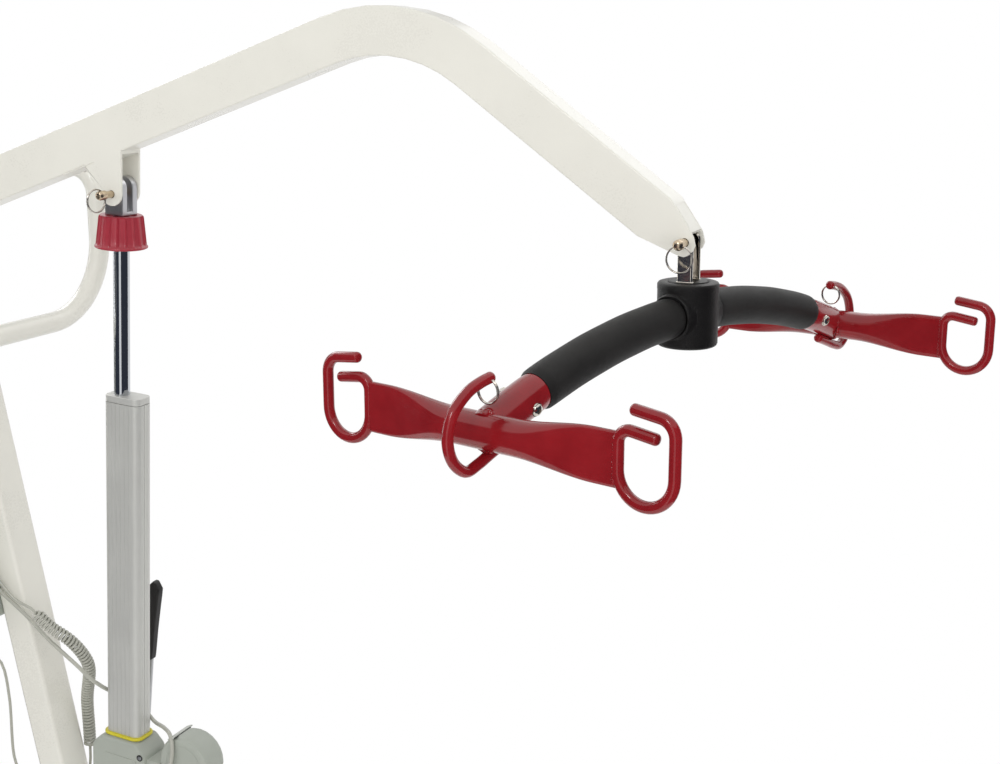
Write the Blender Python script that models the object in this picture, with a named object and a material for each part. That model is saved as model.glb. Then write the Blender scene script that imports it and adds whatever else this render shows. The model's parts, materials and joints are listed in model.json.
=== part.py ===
"""Electric patient lift: boom, mast, spreading base, linear actuator and a four point spreader bar.

Units are metres. +X points the way the boom reaches, +Y to the lift's left side, +Z up. The origin
stands on the floor, below the middle of the lift's length and width.
"""
import math

import bmesh
import bpy
import numpy as np
from mathutils import Matrix, Vector

# Fits and clearances
SEAT_GAP = 0.0003
RUN_GAP = 0.0005
HOLE_GAP = 0.0004

# Boom: bent rectangular tube, pivoted on the mast, with the spreader hung from its front end
BOOM_DEPTH = 0.060
BOOM_WIDTH = 0.042
BOOM_WALL = 0.003
BOOM_RISE = math.radians(19.2)
BOOM_FALL = math.radians(35.9)
BOOM_REAR_RUN = 0.8444
BOOM_FRONT_RUN = 0.448
BOOM_BEND_RADIUS = 0.210
BOOM_TAIL = 0.036
BOOM_EAR_RADIUS = 0.017
BOOM_EAR_RUN = 0.050
BOOM_EAR_FRONT = math.radians(60)
BOOM_EAR_UNDER = math.radians(24.5)
END_PLATE_THICKNESS = 0.003

# Spreader bar
HUB_HEIGHT = 1.320
HANG_DROP = 0.0853
HUB_RADIUS = 0.036
HUB_TALL = 0.076
BAR_TURN = -0.264
BAR_ARCH_RADIUS = 1.060
BAR_TUBE_RADIUS = 0.018
STUB_RADIUS = 0.021
STUB_LAP = 0.045
BAR_CLEAR = 0.0012
CROSSBAR_REACH = 0.369
CROSSBAR_RADIUS = 0.019
CROSSBAR_HALF = 0.1565
CROSSBAR_ROUND_HALF = 0.040
PRESSED_TALL = 0.055
PRESSED_THICK = 0.010
SLEEVE_RADIUS = 0.0235
SLEEVE_END = 0.290
HOOK_ROD_RADIUS = 0.0055
HOOK_LAP = 0.0006
HOOK_WIDTH = 0.0623
HOOK_BEND = 0.013
HOOK_INNER_ARM = 0.0447
HOOK_OUTER_ARM = 0.0481
HOOK_MOUTH = 0.0251
HOOK_DROP = 0.0660
HOOK_TOP_LIFT = 0.0275
BUTTON_HEAD_RADIUS = 0.0065

# Swivel hanger
PRONG_WIDE = 0.0185
PRONG_THICK = 0.0055
PRONG_OUTER_HALF = 0.0172
HANGER_STEM_RADIUS = 0.010

# Quick release pins and their split rings
PIN_RADIUS = 0.005
PIN_STICK_OUT = 0.019
PIN_HEAD_RADIUS = 0.008
RING_RADIUS = 0.0128
RING_WIRE = 0.0009
RING_HOLE = 0.0024

# Linear actuator
ACTUATOR_PIN_RUN = 0.338
ACTUATOR_PIN_DROP = 0.079
ACTUATOR_LENGTH = 0.939
ACTUATOR_LEAN = math.radians(3.86)
ROD_RADIUS = 0.0115
ROD_SHOWN = 0.288
FORK_LONG = 0.030
FORK_WIDE = 0.0325
FORK_SLOT = 0.009
RING_COLLAR_TOP_RADIUS = 0.0305
RING_COLLAR_BOTTOM_RADIUS = 0.0345
RING_COLLAR_FLANGE_RADIUS = 0.0365
RING_COLLAR_TALL = 0.046
RING_COLLAR_START = 0.030
FLUTES = 24
PROFILE_LONG = 0.060
PROFILE_WIDE = 0.036
PROFILE_CORNER = 0.010
PROFILE_LENGTH = 0.522
PROFILE_SHIFT = 0.010
PROFILE_WALL = 0.003
CAP_THICK = 0.010
GEARBOX_TALL = 0.098
GEARBOX_LONG = 0.098
GEARBOX_WIDE = 0.056
MOTOR_RADIUS = 0.045
MOTOR_WIDE = 0.048
MOTOR_AHEAD = 0.126
MOTOR_DROP = 0.014
SOCKET_BEHIND_MOTOR = 0.022
SOCKET_UNDER_MOTOR = 0.0364
SOCKET_SIDE = -0.0305
SOCKET_SIZE = 0.013
LUG_RADIUS = 0.019
LUG_WIDE = 0.030

# Mast
MAST_LEAN = math.radians(10.98)
MAST_LONG = 0.050
MAST_WIDE = 0.055
MAST_WALL = 0.003
MAST_TOP_DROP = 0.058
MAST_FOOT_HEIGHT = 0.152
PIVOT_EAR_RADIUS = 0.030
PIVOT_BOLT_RADIUS = 0.008
BRACKET_PLATE = 0.004
BRACKET_STEP = 0.0003
LOWER_EAR_PLATE = 0.005
LOWER_BOLT_RADIUS = 0.006

# Push handle, passed through the mast
HANDLE_DROP = 0.2025
HANDLE_TUBE_RADIUS = 0.0165
HANDLE_CLEAR = 0.0008
HANDLE_HALF = 0.316
HANDLE_BEND = 0.085
HANDLE_RISE = 0.240
HANDLE_TOP_BEND = 0.045
GRIP_LENGTH = 0.120
GRIP_WALL = 0.003

# Base, legs and casters
BASE_UNDERSIDE = 0.104
LEG_TALL = 0.040
LEG_WIDE = 0.050
LEG_WALL = 0.003
CROSS_TUBE_LONG = 0.060
LEG_PIVOT_HALF = 0.215
LEG_OUT = 0.075
LEG_REACH = 1.020
LEG_BEND_AHEAD = 0.150
LEG_BOLT_RADIUS = 0.007
REAR_ARM_BACK = 0.135
REAR_ARM_HALF = LEG_PIVOT_HALF - 0.050
FRONT_WHEEL_RADIUS = 0.0375
REAR_WHEEL_RADIUS = 0.050
WHEEL_WIDE = 0.024
CASTER_TRAIL = 0.026
CASTER_AXLE_RADIUS = 0.004
CASTER_STEM_RADIUS = 0.008
FORK_PLATE = 0.003
MAST_SOCKET_TALL = 0.110
SOCKET_WALL = 0.005
BASE_PLATE = 0.006
BASE_PLATE_LONG = 0.130
BASE_PLATE_WIDE = 0.260
BASE_PLATE_SHIFT = 0.025
CASTER_INSET = 0.035
CASTER_CROWN = 0.022
CASTER_BRIDGE_LIFT = 0.010
CASTER_BRIDGE_THICK = 0.008
CASTER_EAR_RADIUS = 0.007

# Leg spreading lever
LEVER_SIDE = 0.100
LEVER_LEAN = math.radians(7.3)
LEVER_PIVOT_HEIGHT = 0.176
LEVER_BACK = 0.036
LEVER_GRIP_TOP = 0.644
LEVER_GRIP_LONG = 0.134
LEVER_ROD_RADIUS = 0.0045
LEVER_HUB_HALF = 0.006
LEVER_CHEEK = 0.006
LEVER_CHEEK_RADIUS = 0.012
LEVER_AXLE_RADIUS = 0.005

# Control box, battery and handset
BOX_DROP = 0.500
BOX_TALL = 0.250
BOX_WIDE = 0.150
BATTERY_TALL = 0.160
BATTERY_DEEP = 0.060
STOP_RADIUS = 0.017
STOP_STEM_RADIUS = 0.008
STOP_TRAVEL = 0.004
STOP_SIDE = 0.040
STOP_UP = 0.050
OUTLET_RADIUS = 0.006
OUTLET_LONG = 0.004
HANDSET_OUTLET = (-0.041, 0.5544)
ACTUATOR_OUTLET = (-0.036, 0.5779)
HANDSET_SIDE = 0.150
HANDSET_LONG = 0.130
HANDSET_WIDE = 0.050
HANDSET_DEEP = 0.024
BUTTON_SIZE = 0.020
BUTTON_TRAVEL = 0.0015
BUTTON_SINK = 0.006
BUTTON_HEIGHTS = (-0.035, -0.065)
PLUG_LONG = 0.018

# Cords
LEAD_RADIUS = 0.003
HANDSET_LEAD_RADIUS = 0.0024
CURL_RADIUS = 0.0078
CURL_WIRE_RADIUS = 0.0019
CURL_COUNT = 42
CURL_POINTS = 8


def direction(angle):
    """Unit vector in the XZ plane, angle above +X."""
    return Vector((math.cos(angle), 0.0, math.sin(angle)))


REAR_LINE = direction(BOOM_RISE)
FRONT_LINE = direction(-BOOM_FALL)
HOOK_INNER = CROSSBAR_HALF + HOOK_ROD_RADIUS - HOOK_LAP
HOOK_OUTER = HOOK_INNER + HOOK_WIDTH
SPREADER_FRONT = (HOOK_OUTER * math.cos(BAR_TURN) - CROSSBAR_REACH * math.sin(BAR_TURN)
                  + HOOK_ROD_RADIUS)
PIVOT_BEHIND_HUB = BOOM_REAR_RUN * math.cos(BOOM_RISE) + BOOM_FRONT_RUN * math.cos(BOOM_FALL)
HANDLE_BEHIND_HUB = (PIVOT_BEHIND_HUB - HANDLE_DROP * math.tan(MAST_LEAN)
                     + HANDLE_TOP_BEND + GRIP_LENGTH + GRIP_WALL)
HUB_X = (HANDLE_BEHIND_HUB - SPREADER_FRONT) / 2

HUB = Vector((HUB_X, 0.0, HUB_HEIGHT))
BOOM_PIN = HUB + Vector((0.0, 0.0, HANG_DROP))
BOOM_CORNER = BOOM_PIN - FRONT_LINE * BOOM_FRONT_RUN
BOOM_PIVOT = BOOM_CORNER - REAR_LINE * BOOM_REAR_RUN
REAR_UP = direction(BOOM_RISE + math.pi / 2)
FRONT_UP = direction(math.pi / 2 - BOOM_FALL)
ACTUATOR_PIN = BOOM_PIVOT + REAR_LINE * ACTUATOR_PIN_RUN - REAR_UP * ACTUATOR_PIN_DROP
ACTUATOR_DOWN = direction(-math.pi / 2 - ACTUATOR_LEAN)
LOWER_PIN = ACTUATOR_PIN + ACTUATOR_DOWN * ACTUATOR_LENGTH
MAST_UP = direction(math.pi / 2 + MAST_LEAN)
MAST_FRONT = direction(MAST_LEAN)


def mast_point(height):
    """Point on the mast's centre line at a height above the floor."""
    return BOOM_PIVOT + MAST_UP * ((height - BOOM_PIVOT.z) / MAST_UP.z)


BASE_TOP = BASE_UNDERSIDE + LEG_TALL
MAST_FOOT = mast_point(MAST_FOOT_HEIGHT)
BASE_X = MAST_FOOT.x


def arc(centre, radius, start, end, steps):
    """Points of an arc in 2D, angles in radians, both ends included."""
    turns = [start + (end - start) * step / steps for step in range(steps + 1)]
    return [(centre[0] + radius * math.cos(a), centre[1] + radius * math.sin(a)) for a in turns]


def flat(vector):
    """XZ pair of a vector."""
    return (vector.x, vector.z)


def rounded_rectangle(long, wide, corner, steps=2):
    """Outline centred on the origin, counter-clockwise."""
    half_long, half_wide = long / 2 - corner, wide / 2 - corner
    outline = []
    for quarter, (sign_x, sign_y) in enumerate(((1, 1), (-1, 1), (-1, -1), (1, -1))):
        start = quarter * math.pi / 2
        outline += arc((sign_x * half_long, sign_y * half_wide), corner, start, start + math.pi / 2, steps)
    return outline


def fillet_route(points, radius, steps):
    """Polyline through 3D points with each inner corner rounded."""
    route = [Vector(points[0])]
    for before, corner, after in zip(points, points[1:], points[2:]):
        corner = Vector(corner)
        back = (Vector(before) - corner).normalized()
        ahead = (Vector(after) - corner).normalized()
        half = back.angle(ahead) / 2
        run = radius / math.tan(half)
        centre = corner + (back + ahead).normalized() * (radius / math.sin(half))
        first = (corner + back * run - centre).normalized()
        last = (corner + ahead * run - centre).normalized()
        for step in range(steps + 1):
            route.append(centre + first.slerp(last, step / steps) * radius)
    route.append(Vector(points[-1]))
    return route


CURVE_STEPS = 12


def smooth_route(points, count, before=None, after=None):
    """Evenly spaced points of a Catmull-Rom curve through hand chosen points.

    The points before and after the curve, where given, set the direction of its ends.
    """
    knots = [Vector(p) for p in points]
    knots = [before or knots[0] * 2 - knots[1]] + knots + [after or knots[-1] * 2 - knots[-2]]
    fine = []
    for a, b, c, d in zip(knots, knots[1:], knots[2:], knots[3:]):
        for step in range(CURVE_STEPS):
            t = step / CURVE_STEPS
            fine.append((b * 2 + (c - a) * t + (a * 2 - b * 5 + c * 4 - d) * t * t
                         + (b * 3 - a - c * 3 + d) * t * t * t) / 2)
    fine.append(knots[-2])
    lengths = [0.0]
    for a, b in zip(fine, fine[1:]):
        lengths.append(lengths[-1] + (b - a).length)
    axes = [np.interp(np.linspace(0, lengths[-1], count), lengths, [p[axis] for p in fine])
            for axis in range(3)]
    return [Vector(point) for point in zip(*axes)]


def remove_scene_objects():
    """Start from an empty scene."""
    for item in list(bpy.data.objects):
        bpy.data.objects.remove(item, do_unlink=True)


def paint(item, colour, roughness, metallic=0.0):
    """Give an object its own Principled material."""
    material = bpy.data.materials.new(item.name + "_finish")
    material.use_nodes = True
    shader = material.node_tree.nodes["Principled BSDF"]
    shader.inputs["Base Color"].default_value = (*colour, 1.0)
    shader.inputs["Roughness"].default_value = roughness
    shader.inputs["Metallic"].default_value = metallic
    item.data.materials.append(material)
    return item


OFF_WHITE = ((0.83, 0.81, 0.74), 0.35)
DEEP_RED = ((0.30, 0.012, 0.018), 0.22)
FOAM_BLACK = ((0.022, 0.020, 0.019), 0.75)
MOULDED_BLACK = ((0.012, 0.011, 0.011), 0.45)
ALUMINIUM = ((0.50, 0.50, 0.47), 0.38, 0.9)
CHROME = ((0.62, 0.60, 0.57), 0.12, 1.0)
STEEL = ((0.42, 0.43, 0.45), 0.25, 1.0)
COLLAR_RED = ((0.43, 0.035, 0.055), 0.40)
HOUSING_GREY = ((0.44, 0.46, 0.42), 0.55)
SEAL_YELLOW = ((0.75, 0.68, 0.04), 0.45)
CORD_GREY = ((0.52, 0.52, 0.48), 0.60)
PLATE_GREY = ((0.52, 0.54, 0.47), 0.40)
CASTER_GREY = ((0.30, 0.30, 0.30), 0.55)
STOP_RED = ((0.55, 0.02, 0.02), 0.35)


def link(name, bm, look=None, place=(0, 0, 0), turn=(0, 0, 0), smooth=35):
    """Turn a bmesh into a placed object; without a look it is a hidden tool for a Boolean."""
    bmesh.ops.recalc_face_normals(bm, faces=bm.faces)
    mesh = bpy.data.meshes.new(name)
    bm.to_mesh(mesh)
    bm.free()
    mesh.shade_smooth()
    mesh.set_sharp_from_angle(angle=math.radians(smooth))
    item = bpy.data.objects.new(name, mesh)
    bpy.context.collection.objects.link(item)
    item.location = place
    item.rotation_euler = turn
    if look is None:
        item.hide_render = True
        item.display_type = 'WIRE'
    else:
        paint(item, *look)
    return item


def prism_mesh(outline, plane, low, high):
    """Extrude a 2D outline between two levels of the axis that the plane leaves out."""
    spots = {'XZ': lambda a, b, c: (a, c, b), 'XY': lambda a, b, c: (a, b, c),
             'YZ': lambda a, b, c: (c, a, b)}[plane]
    bm = bmesh.new()
    face = bm.faces.new([bm.verts.new(spots(a, b, low)) for a, b in outline])
    lift = Vector(spots(0, 0, high)) - Vector(spots(0, 0, low))
    grown = bmesh.ops.extrude_face_region(bm, geom=[face])
    bmesh.ops.translate(bm, vec=lift, verts=[v for v in grown['geom'] if isinstance(v, bmesh.types.BMVert)])
    return bm


def prism(name, outline, plane, low, high, look=None, place=(0, 0, 0), turn=(0, 0, 0), smooth=35):
    return link(name, prism_mesh(outline, plane, low, high), look, place, turn, smooth)


def box(name, low, high, look=None, place=(0, 0, 0), turn=(0, 0, 0)):
    """Box between two corners."""
    outline = [(low[0], low[1]), (high[0], low[1]), (high[0], high[1]), (low[0], high[1])]
    return prism(name, outline, 'XY', low[2], high[2], look, place, turn)


def lathe_mesh(profile, segments, ripple=None):
    """Turn a closed (radius, height) profile about Z; ripple scales the radius by angle and point."""
    bm = bmesh.new()
    rings = []
    for segment in range(segments):
        angle = 2 * math.pi * segment / segments
        ring = []
        for index, (radius, height) in enumerate(profile):
            scale = ripple(angle, index) if ripple else 1.0
            ring.append(bm.verts.new((radius * scale * math.cos(angle), radius * scale * math.sin(angle),
                                      height)))
        rings.append(ring)
    for one, two in zip(rings, rings[1:] + rings[:1]):
        for index in range(len(profile)):
            after = (index + 1) % len(profile)
            bm.faces.new((one[index], two[index], two[after], one[after]))
    return bm


def ring_solid(name, profile, segments, look=None, place=(0, 0, 0), turn=(0, 0, 0), ripple=None, smooth=35):
    return link(name, lathe_mesh(profile, segments, ripple), look, place, turn, smooth)


def cylinder_mesh(radius, low, high, axis='Z', segments=12, centre=(0.0, 0.0)):
    """Closed cylinder along an axis between two levels."""
    outline = arc(centre, radius, 0, 2 * math.pi * (segments - 1) / segments, segments - 1)
    return prism_mesh(outline, {'Z': 'XY', 'Y': 'XZ', 'X': 'YZ'}[axis], low, high)


def cylinder(name, radius, low, high, axis='Z', look=None, place=(0, 0, 0), turn=(0, 0, 0),
             segments=12, centre=(0.0, 0.0)):
    return link(name, cylinder_mesh(radius, low, high, axis, segments, centre), look, place, turn)


def sweep_mesh(points, radius, sides, closed=False, ends=None):
    """Round bar along a polyline, with flat ends unless it closes on itself.

    The directions in ends, where given, are what the two end faces stand square to.
    """
    points = [Vector(p) for p in points]
    count = len(points)
    bm = bmesh.new()
    rings = []
    side = None
    for index, point in enumerate(points):
        before = points[index - 1] if index or closed else point
        after = points[(index + 1) % count] if index + 1 < count or closed else point
        ahead = (after - before).normalized()
        if ends and index in (0, count - 1):
            ahead = ends[0 if index == 0 else 1]
        if side is None:
            side = ahead.orthogonal().normalized()
        side = (side - ahead * side.dot(ahead)).normalized()
        up = ahead.cross(side)
        angles = [2 * math.pi * k / sides for k in range(sides)]
        rings.append([bm.verts.new(point + side * (radius * math.cos(a)) + up * (radius * math.sin(a)))
                      for a in angles])
    pairs = list(zip(rings, rings[1:]))
    if closed:
        pairs.append((rings[-1], rings[0]))
    else:
        bm.faces.new(rings[0])
        bm.faces.new(rings[-1])
    for one, two in pairs:
        for k in range(sides):
            bm.faces.new((one[k], one[(k + 1) % sides], two[(k + 1) % sides], two[k]))
    return bm


def bar(name, points, radius, sides, look=None, place=(0, 0, 0), turn=(0, 0, 0), closed=False, ends=None):
    return link(name, sweep_mesh(points, radius, sides, closed, ends), look, place, turn, smooth=50)


def combine(item, tools, operation):
    """Boolean each tool into the item, in the item's own frame."""
    for tool in tools:
        modifier = item.modifiers.new(tool.name, 'BOOLEAN')
        modifier.operation = operation
        modifier.object = tool
        modifier.solver = 'EXACT'
    return item


def cut(item, *tools):
    return combine(item, tools, 'DIFFERENCE')


def weld(item, *tools):
    return combine(item, tools, 'UNION')


def soften(item, width, segments=2, angle=35):
    """Bevel modifier on the sharp edges."""
    modifier = item.modifiers.new("softened_edges", 'BEVEL')
    modifier.width = width
    modifier.segments = segments
    modifier.limit_method = 'ANGLE'
    modifier.angle_limit = math.radians(angle)
    return item


def world_place(item):
    """World position of an object whose parents are all unturned."""
    place = Vector(item.location)
    while item.parent:
        item = item.parent
        place += Vector(item.location)
    return place


def joint_empty(name, place, turn=(0, 0, 0)):
    """Empty that stands on a joint's axis and carries the pieces that move with it."""
    empty = bpy.data.objects.new(name, None)
    bpy.context.collection.objects.link(empty)
    empty.location = place
    empty.rotation_euler = turn
    empty.empty_display_size = 0.03
    return empty


def carry(parent, *items):
    """Parent the items to an unturned empty and keep them where they are."""
    base = world_place(parent)
    for item in items:
        item.location = Vector(item.location) - base
        item.parent = parent


def crossing(point, angle, other, other_angle):
    """Where two lines in 2D meet, each given by a point and an angle."""
    dx, dz = other[0] - point[0], other[1] - point[1]
    det = math.sin(other_angle - angle)
    run = (dx * math.sin(other_angle) - dz * math.cos(other_angle)) / det
    return (point[0] + run * math.cos(angle), point[1] + run * math.sin(angle))


# Boom

def boom_line(half_depth, steps):
    """Upper and lower edge of the bent tube, from the tail to the ears, relative to the pivot."""
    corner = BOOM_CORNER - BOOM_PIVOT
    run = BOOM_BEND_RADIUS * math.tan((BOOM_RISE + BOOM_FALL) / 2)
    centre = flat(corner - REAR_LINE * run - REAR_UP * BOOM_BEND_RADIUS)
    start, end = BOOM_RISE + math.pi / 2, math.pi / 2 - BOOM_FALL
    upper = arc(centre, BOOM_BEND_RADIUS + half_depth, start, end, steps)
    lower = arc(centre, BOOM_BEND_RADIUS - half_depth, start, end, steps)
    return upper, lower


def boom_outline():
    half = BOOM_DEPTH / 2
    upper, lower = boom_line(half, 7)
    pin = BOOM_PIN - BOOM_PIVOT
    tail = REAR_LINE * -BOOM_TAIL
    chamfer = flat(pin - FRONT_LINE * BOOM_EAR_RUN - FRONT_UP * half)
    tip = arc(flat(pin), BOOM_EAR_RADIUS, -math.pi / 2 - BOOM_EAR_UNDER, math.pi / 2 - BOOM_EAR_FRONT, 6)
    brow = crossing(tip[-1], math.pi - BOOM_EAR_FRONT, flat(pin + FRONT_UP * half), -BOOM_FALL)
    return [flat(tail - REAR_UP * half)] + lower + [chamfer] + tip + [brow] + upper[::-1] + [
        flat(tail + REAR_UP * half)]


def boom_bore():
    """Inside of the tube, open at the tail and between the front ears."""
    half = BOOM_DEPTH / 2 - BOOM_WALL
    upper, lower = boom_line(half, 7)
    pin = BOOM_PIN - BOOM_PIVOT
    tail = REAR_LINE * -(BOOM_TAIL + BOOM_WALL)
    chamfer = flat(pin - FRONT_LINE * BOOM_EAR_RUN - FRONT_UP * half)
    beyond = pin.x + BOOM_DEPTH
    below = pin.z - BOOM_DEPTH
    brow = crossing((beyond, below), math.pi / 2, flat(pin + FRONT_UP * half), -BOOM_FALL)
    return [flat(tail - REAR_UP * half)] + lower + [chamfer, (chamfer[0], below), (beyond, below), brow] + \
        upper[::-1] + [flat(tail + REAR_UP * half)]


def make_boom():
    half = BOOM_WIDTH / 2
    boom = prism("boom", boom_outline(), 'XZ', -half, half, OFF_WHITE, BOOM_PIVOT, smooth=20)
    bore = prism("boom_bore", boom_bore(), 'XZ', -half + BOOM_WALL, half - BOOM_WALL, None, BOOM_PIVOT)
    pivot = cylinder("boom_pivot_hole", PIVOT_BOLT_RADIUS + HOLE_GAP, -half - BOOM_WALL, half + BOOM_WALL,
                     'Y', None, BOOM_PIVOT)
    pin = cylinder("boom_pin_hole", PIN_RADIUS + HOLE_GAP, -half - BOOM_WALL, half + BOOM_WALL, 'Y',
                   None, BOOM_PIN)
    cut(boom, bore, pivot, pin)
    weld_end_plate(boom)
    return weld_boom_bracket(boom)


def weld_end_plate(boom):
    """Plate that closes the tube between the front ears."""
    pin = BOOM_PIN - BOOM_PIVOT
    tip = arc(flat(pin), BOOM_EAR_RADIUS, 0, math.pi / 2 - BOOM_EAR_FRONT, 1)[-1]
    brow = crossing(tip, math.pi - BOOM_EAR_FRONT, flat(pin + FRONT_UP * (BOOM_DEPTH / 2)), -BOOM_FALL)
    down = direction(-BOOM_EAR_FRONT)
    inward = direction(math.pi + math.pi / 2 - BOOM_EAR_FRONT)
    sunk = Vector((brow[0], 0, brow[1])) + inward * SEAT_GAP
    top = sunk + down * (BOOM_WALL / 2 / math.sin(BOOM_EAR_FRONT - BOOM_FALL))
    end = top + down * (BOOM_EAR_RADIUS * 2)
    outline = [flat(top), flat(end), flat(end + inward * END_PLATE_THICKNESS),
               flat(top + inward * END_PLATE_THICKNESS)]
    half = BOOM_WIDTH / 2 - BOOM_WALL / 2
    return weld(boom, prism("boom_end_plate", outline, 'XZ', -half, half, None, BOOM_PIVOT))


def weld_boom_bracket(boom):
    """Channel under the boom whose two ears hold the actuator's upper pin."""
    under = BOOM_PIVOT - REAR_UP * (BOOM_DEPTH / 2 - BOOM_WALL / 2) - ACTUATOR_PIN
    radius = FORK_LONG / 2 + 0.0015
    rear = crossing(flat(under), BOOM_RISE, (-radius * 2.7, 0), math.pi / 2)
    front = crossing(flat(under), BOOM_RISE, (radius * 1.25, 0), math.pi / 2)
    tip = arc((0, 0), radius, math.radians(215), math.radians(355), 6)
    half = BOOM_WIDTH / 2 + BRACKET_STEP
    bracket = prism("boom_bracket", [rear] + tip + [front], 'XZ', -half, half, None, ACTUATOR_PIN)
    web = under - REAR_UP * (BRACKET_PLATE + BOOM_WALL / 2)
    slot_rear = crossing(flat(web), BOOM_RISE, (-radius * 4, 0), math.pi / 2)
    slot_front = crossing(flat(web), BOOM_RISE, (radius * 2, 0), math.pi / 2)
    slot = prism("bracket_slot", [slot_rear, (slot_rear[0], -radius * 2), (slot_front[0], -radius * 2),
                                  slot_front],
                 'XZ', -half + BRACKET_PLATE, half - BRACKET_PLATE, None, ACTUATOR_PIN)
    hole = cylinder("bracket_pin_hole", PIN_RADIUS + HOLE_GAP, -half - BRACKET_PLATE, half + BRACKET_PLATE,
                    'Y', None, ACTUATOR_PIN)
    return cut(weld(boom, bracket), slot, hole)


def hexagon(angle):
    """Radius of a hexagon of corner radius 1 at an angle."""
    return math.cos(math.pi / 6) / math.cos(angle % (math.pi / 3) - math.pi / 6)


def bolt_mesh(shaft, head, low, high, head_tall, nut_tall=0.0, round_head=False):
    """Bolt along Z: shaft from low to high, head above high and, with nut_tall, a nut below low."""
    profile = [(0, low), (shaft, low), (shaft, high)]
    if nut_tall:
        profile = [(0, low - nut_tall), (head, low - nut_tall), (head, low), (shaft, low), (shaft, high)]
    hexed = {1, 2} if nut_tall else set()
    start = len(profile)
    if round_head:
        profile += [(head, high), (head * 0.9, high + head_tall * 0.6), (head * 0.5, high + head_tall)]
    else:
        profile += [(head, high), (head, high + head_tall)]
        hexed |= {start, start + 1}
    profile.append((0, high + head_tall))
    return axis_lathe_mesh(profile, 12, hexed)


def axis_lathe_mesh(profile, segments, hexed=()):
    """Turn an open profile whose ends lie on the axis; the points in hexed follow a hexagon."""
    bm = bmesh.new()
    first = bm.verts.new((0, 0, profile[0][1]))
    last = bm.verts.new((0, 0, profile[-1][1]))
    rings = []
    for segment in range(segments):
        angle = 2 * math.pi * segment / segments
        ring = []
        for index, (radius, height) in enumerate(profile[1:-1], start=1):
            reach = radius * (hexagon(angle) if index in hexed else 1.0)
            ring.append(bm.verts.new((reach * math.cos(angle), reach * math.sin(angle), height)))
        rings.append(ring)
    for one, two in zip(rings, rings[1:] + rings[:1]):
        bm.faces.new((first, two[0], one[0]))
        bm.faces.new((last, one[-1], two[-1]))
        for index in range(len(one) - 1):
            bm.faces.new((one[index], two[index], two[index + 1], one[index + 1]))
    return bm


def moved(bm, spot=(0, 0, 0), axis='Z', flip=False):
    """Turn a mesh's Z onto an axis, or against it, and move it to a spot."""
    turn = {'Z': Matrix.Identity(4), 'Y': Matrix.Rotation(-math.pi / 2, 4, 'X'),
            'X': Matrix.Rotation(math.pi / 2, 4, 'Y')}[axis]
    if flip:
        turn = turn @ Matrix.Rotation(math.pi, 4, 'X')
    bm.transform(Matrix.Translation(spot) @ turn)
    return bm


def make_pivot_bolt():
    half = MAST_WIDE / 2 + SEAT_GAP
    bolt = bolt_mesh(PIVOT_BOLT_RADIUS, PIVOT_BOLT_RADIUS * 1.7, -half, half, PIVOT_BOLT_RADIUS,
                     PIVOT_BOLT_RADIUS)
    return link("boom_pivot_bolt", moved(bolt, axis='Y'), STEEL, BOOM_PIVOT)


# Quick release pins

def make_release_pin(name, place, half_span):
    """Headed pin along Y; its head is on the far side and a split ring hangs from its near end."""
    low = -half_span - PIN_STICK_OUT
    high = half_span + SEAT_GAP
    pin = cylinder(name, PIN_RADIUS, low, high + PIN_RADIUS, 'Y', CHROME, place, segments=16)
    head = cylinder(name + "_head", PIN_HEAD_RADIUS, high, high + PIN_RADIUS, 'Y', None, place)
    hole = cylinder(name + "_ring_hole", RING_HOLE, -PIN_HEAD_RADIUS, PIN_HEAD_RADIUS, 'X', None,
                    Vector(place) + Vector((0, low + PIN_RADIUS, 0)), segments=10)
    return cut(weld(pin, head), hole)


PIN_RING_SHIFT = Vector((0, -BOOM_WIDTH / 2 - SEAT_GAP - PIN_STICK_OUT + PIN_RADIUS, 0))


def hanging_ring(name, place, turn=(0, 0, 0)):
    """Wire ring that hangs from a hole along X at its top."""
    circle = [Vector((RING_RADIUS * math.sin(a), 0, RING_RADIUS * (math.cos(a) - 1)))
              for a in (2 * math.pi * k / 14 for k in range(14))]
    return bar(name, circle, RING_WIRE, 5, CHROME, place, turn, closed=True)


# Spreader bar, in its own frame: X along the crossbars, Y along the centre bar, Z up

SPREADER_TURN = (0, 0, BAR_TURN)


def arch_point(along):
    """Point of the arched bar's centre line at a distance along Y."""
    angle = math.asin(along / BAR_ARCH_RADIUS)
    return Vector((0, along, BAR_ARCH_RADIUS * (math.cos(angle) - 1)))


def arch_bar(name, start, end, steps, radius, sides, look=None):
    """Round bar along the arch between two distances, its end faces square to the arch."""
    route = [arch_point(start + (end - start) * k / steps) for k in range(steps + 1)]
    sense = math.copysign(1, end - start)
    tangents = [Vector((0, math.cos(a), -math.sin(a))) * sense
                for a in (math.asin(along / BAR_ARCH_RADIUS) for along in (start, end))]
    return bar(name, route, radius, sides, look, HUB, SPREADER_TURN, ends=tangents)


CROSSBAR_HEIGHT = arch_point(CROSSBAR_REACH).z
HANGER_DISC_RADIUS = 0.0215
HANGER_DISC_TALL = 0.009
HUB_BOSS_RADIUS = 0.0265
HUB_BOSS_REACH = 0.0385


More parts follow.
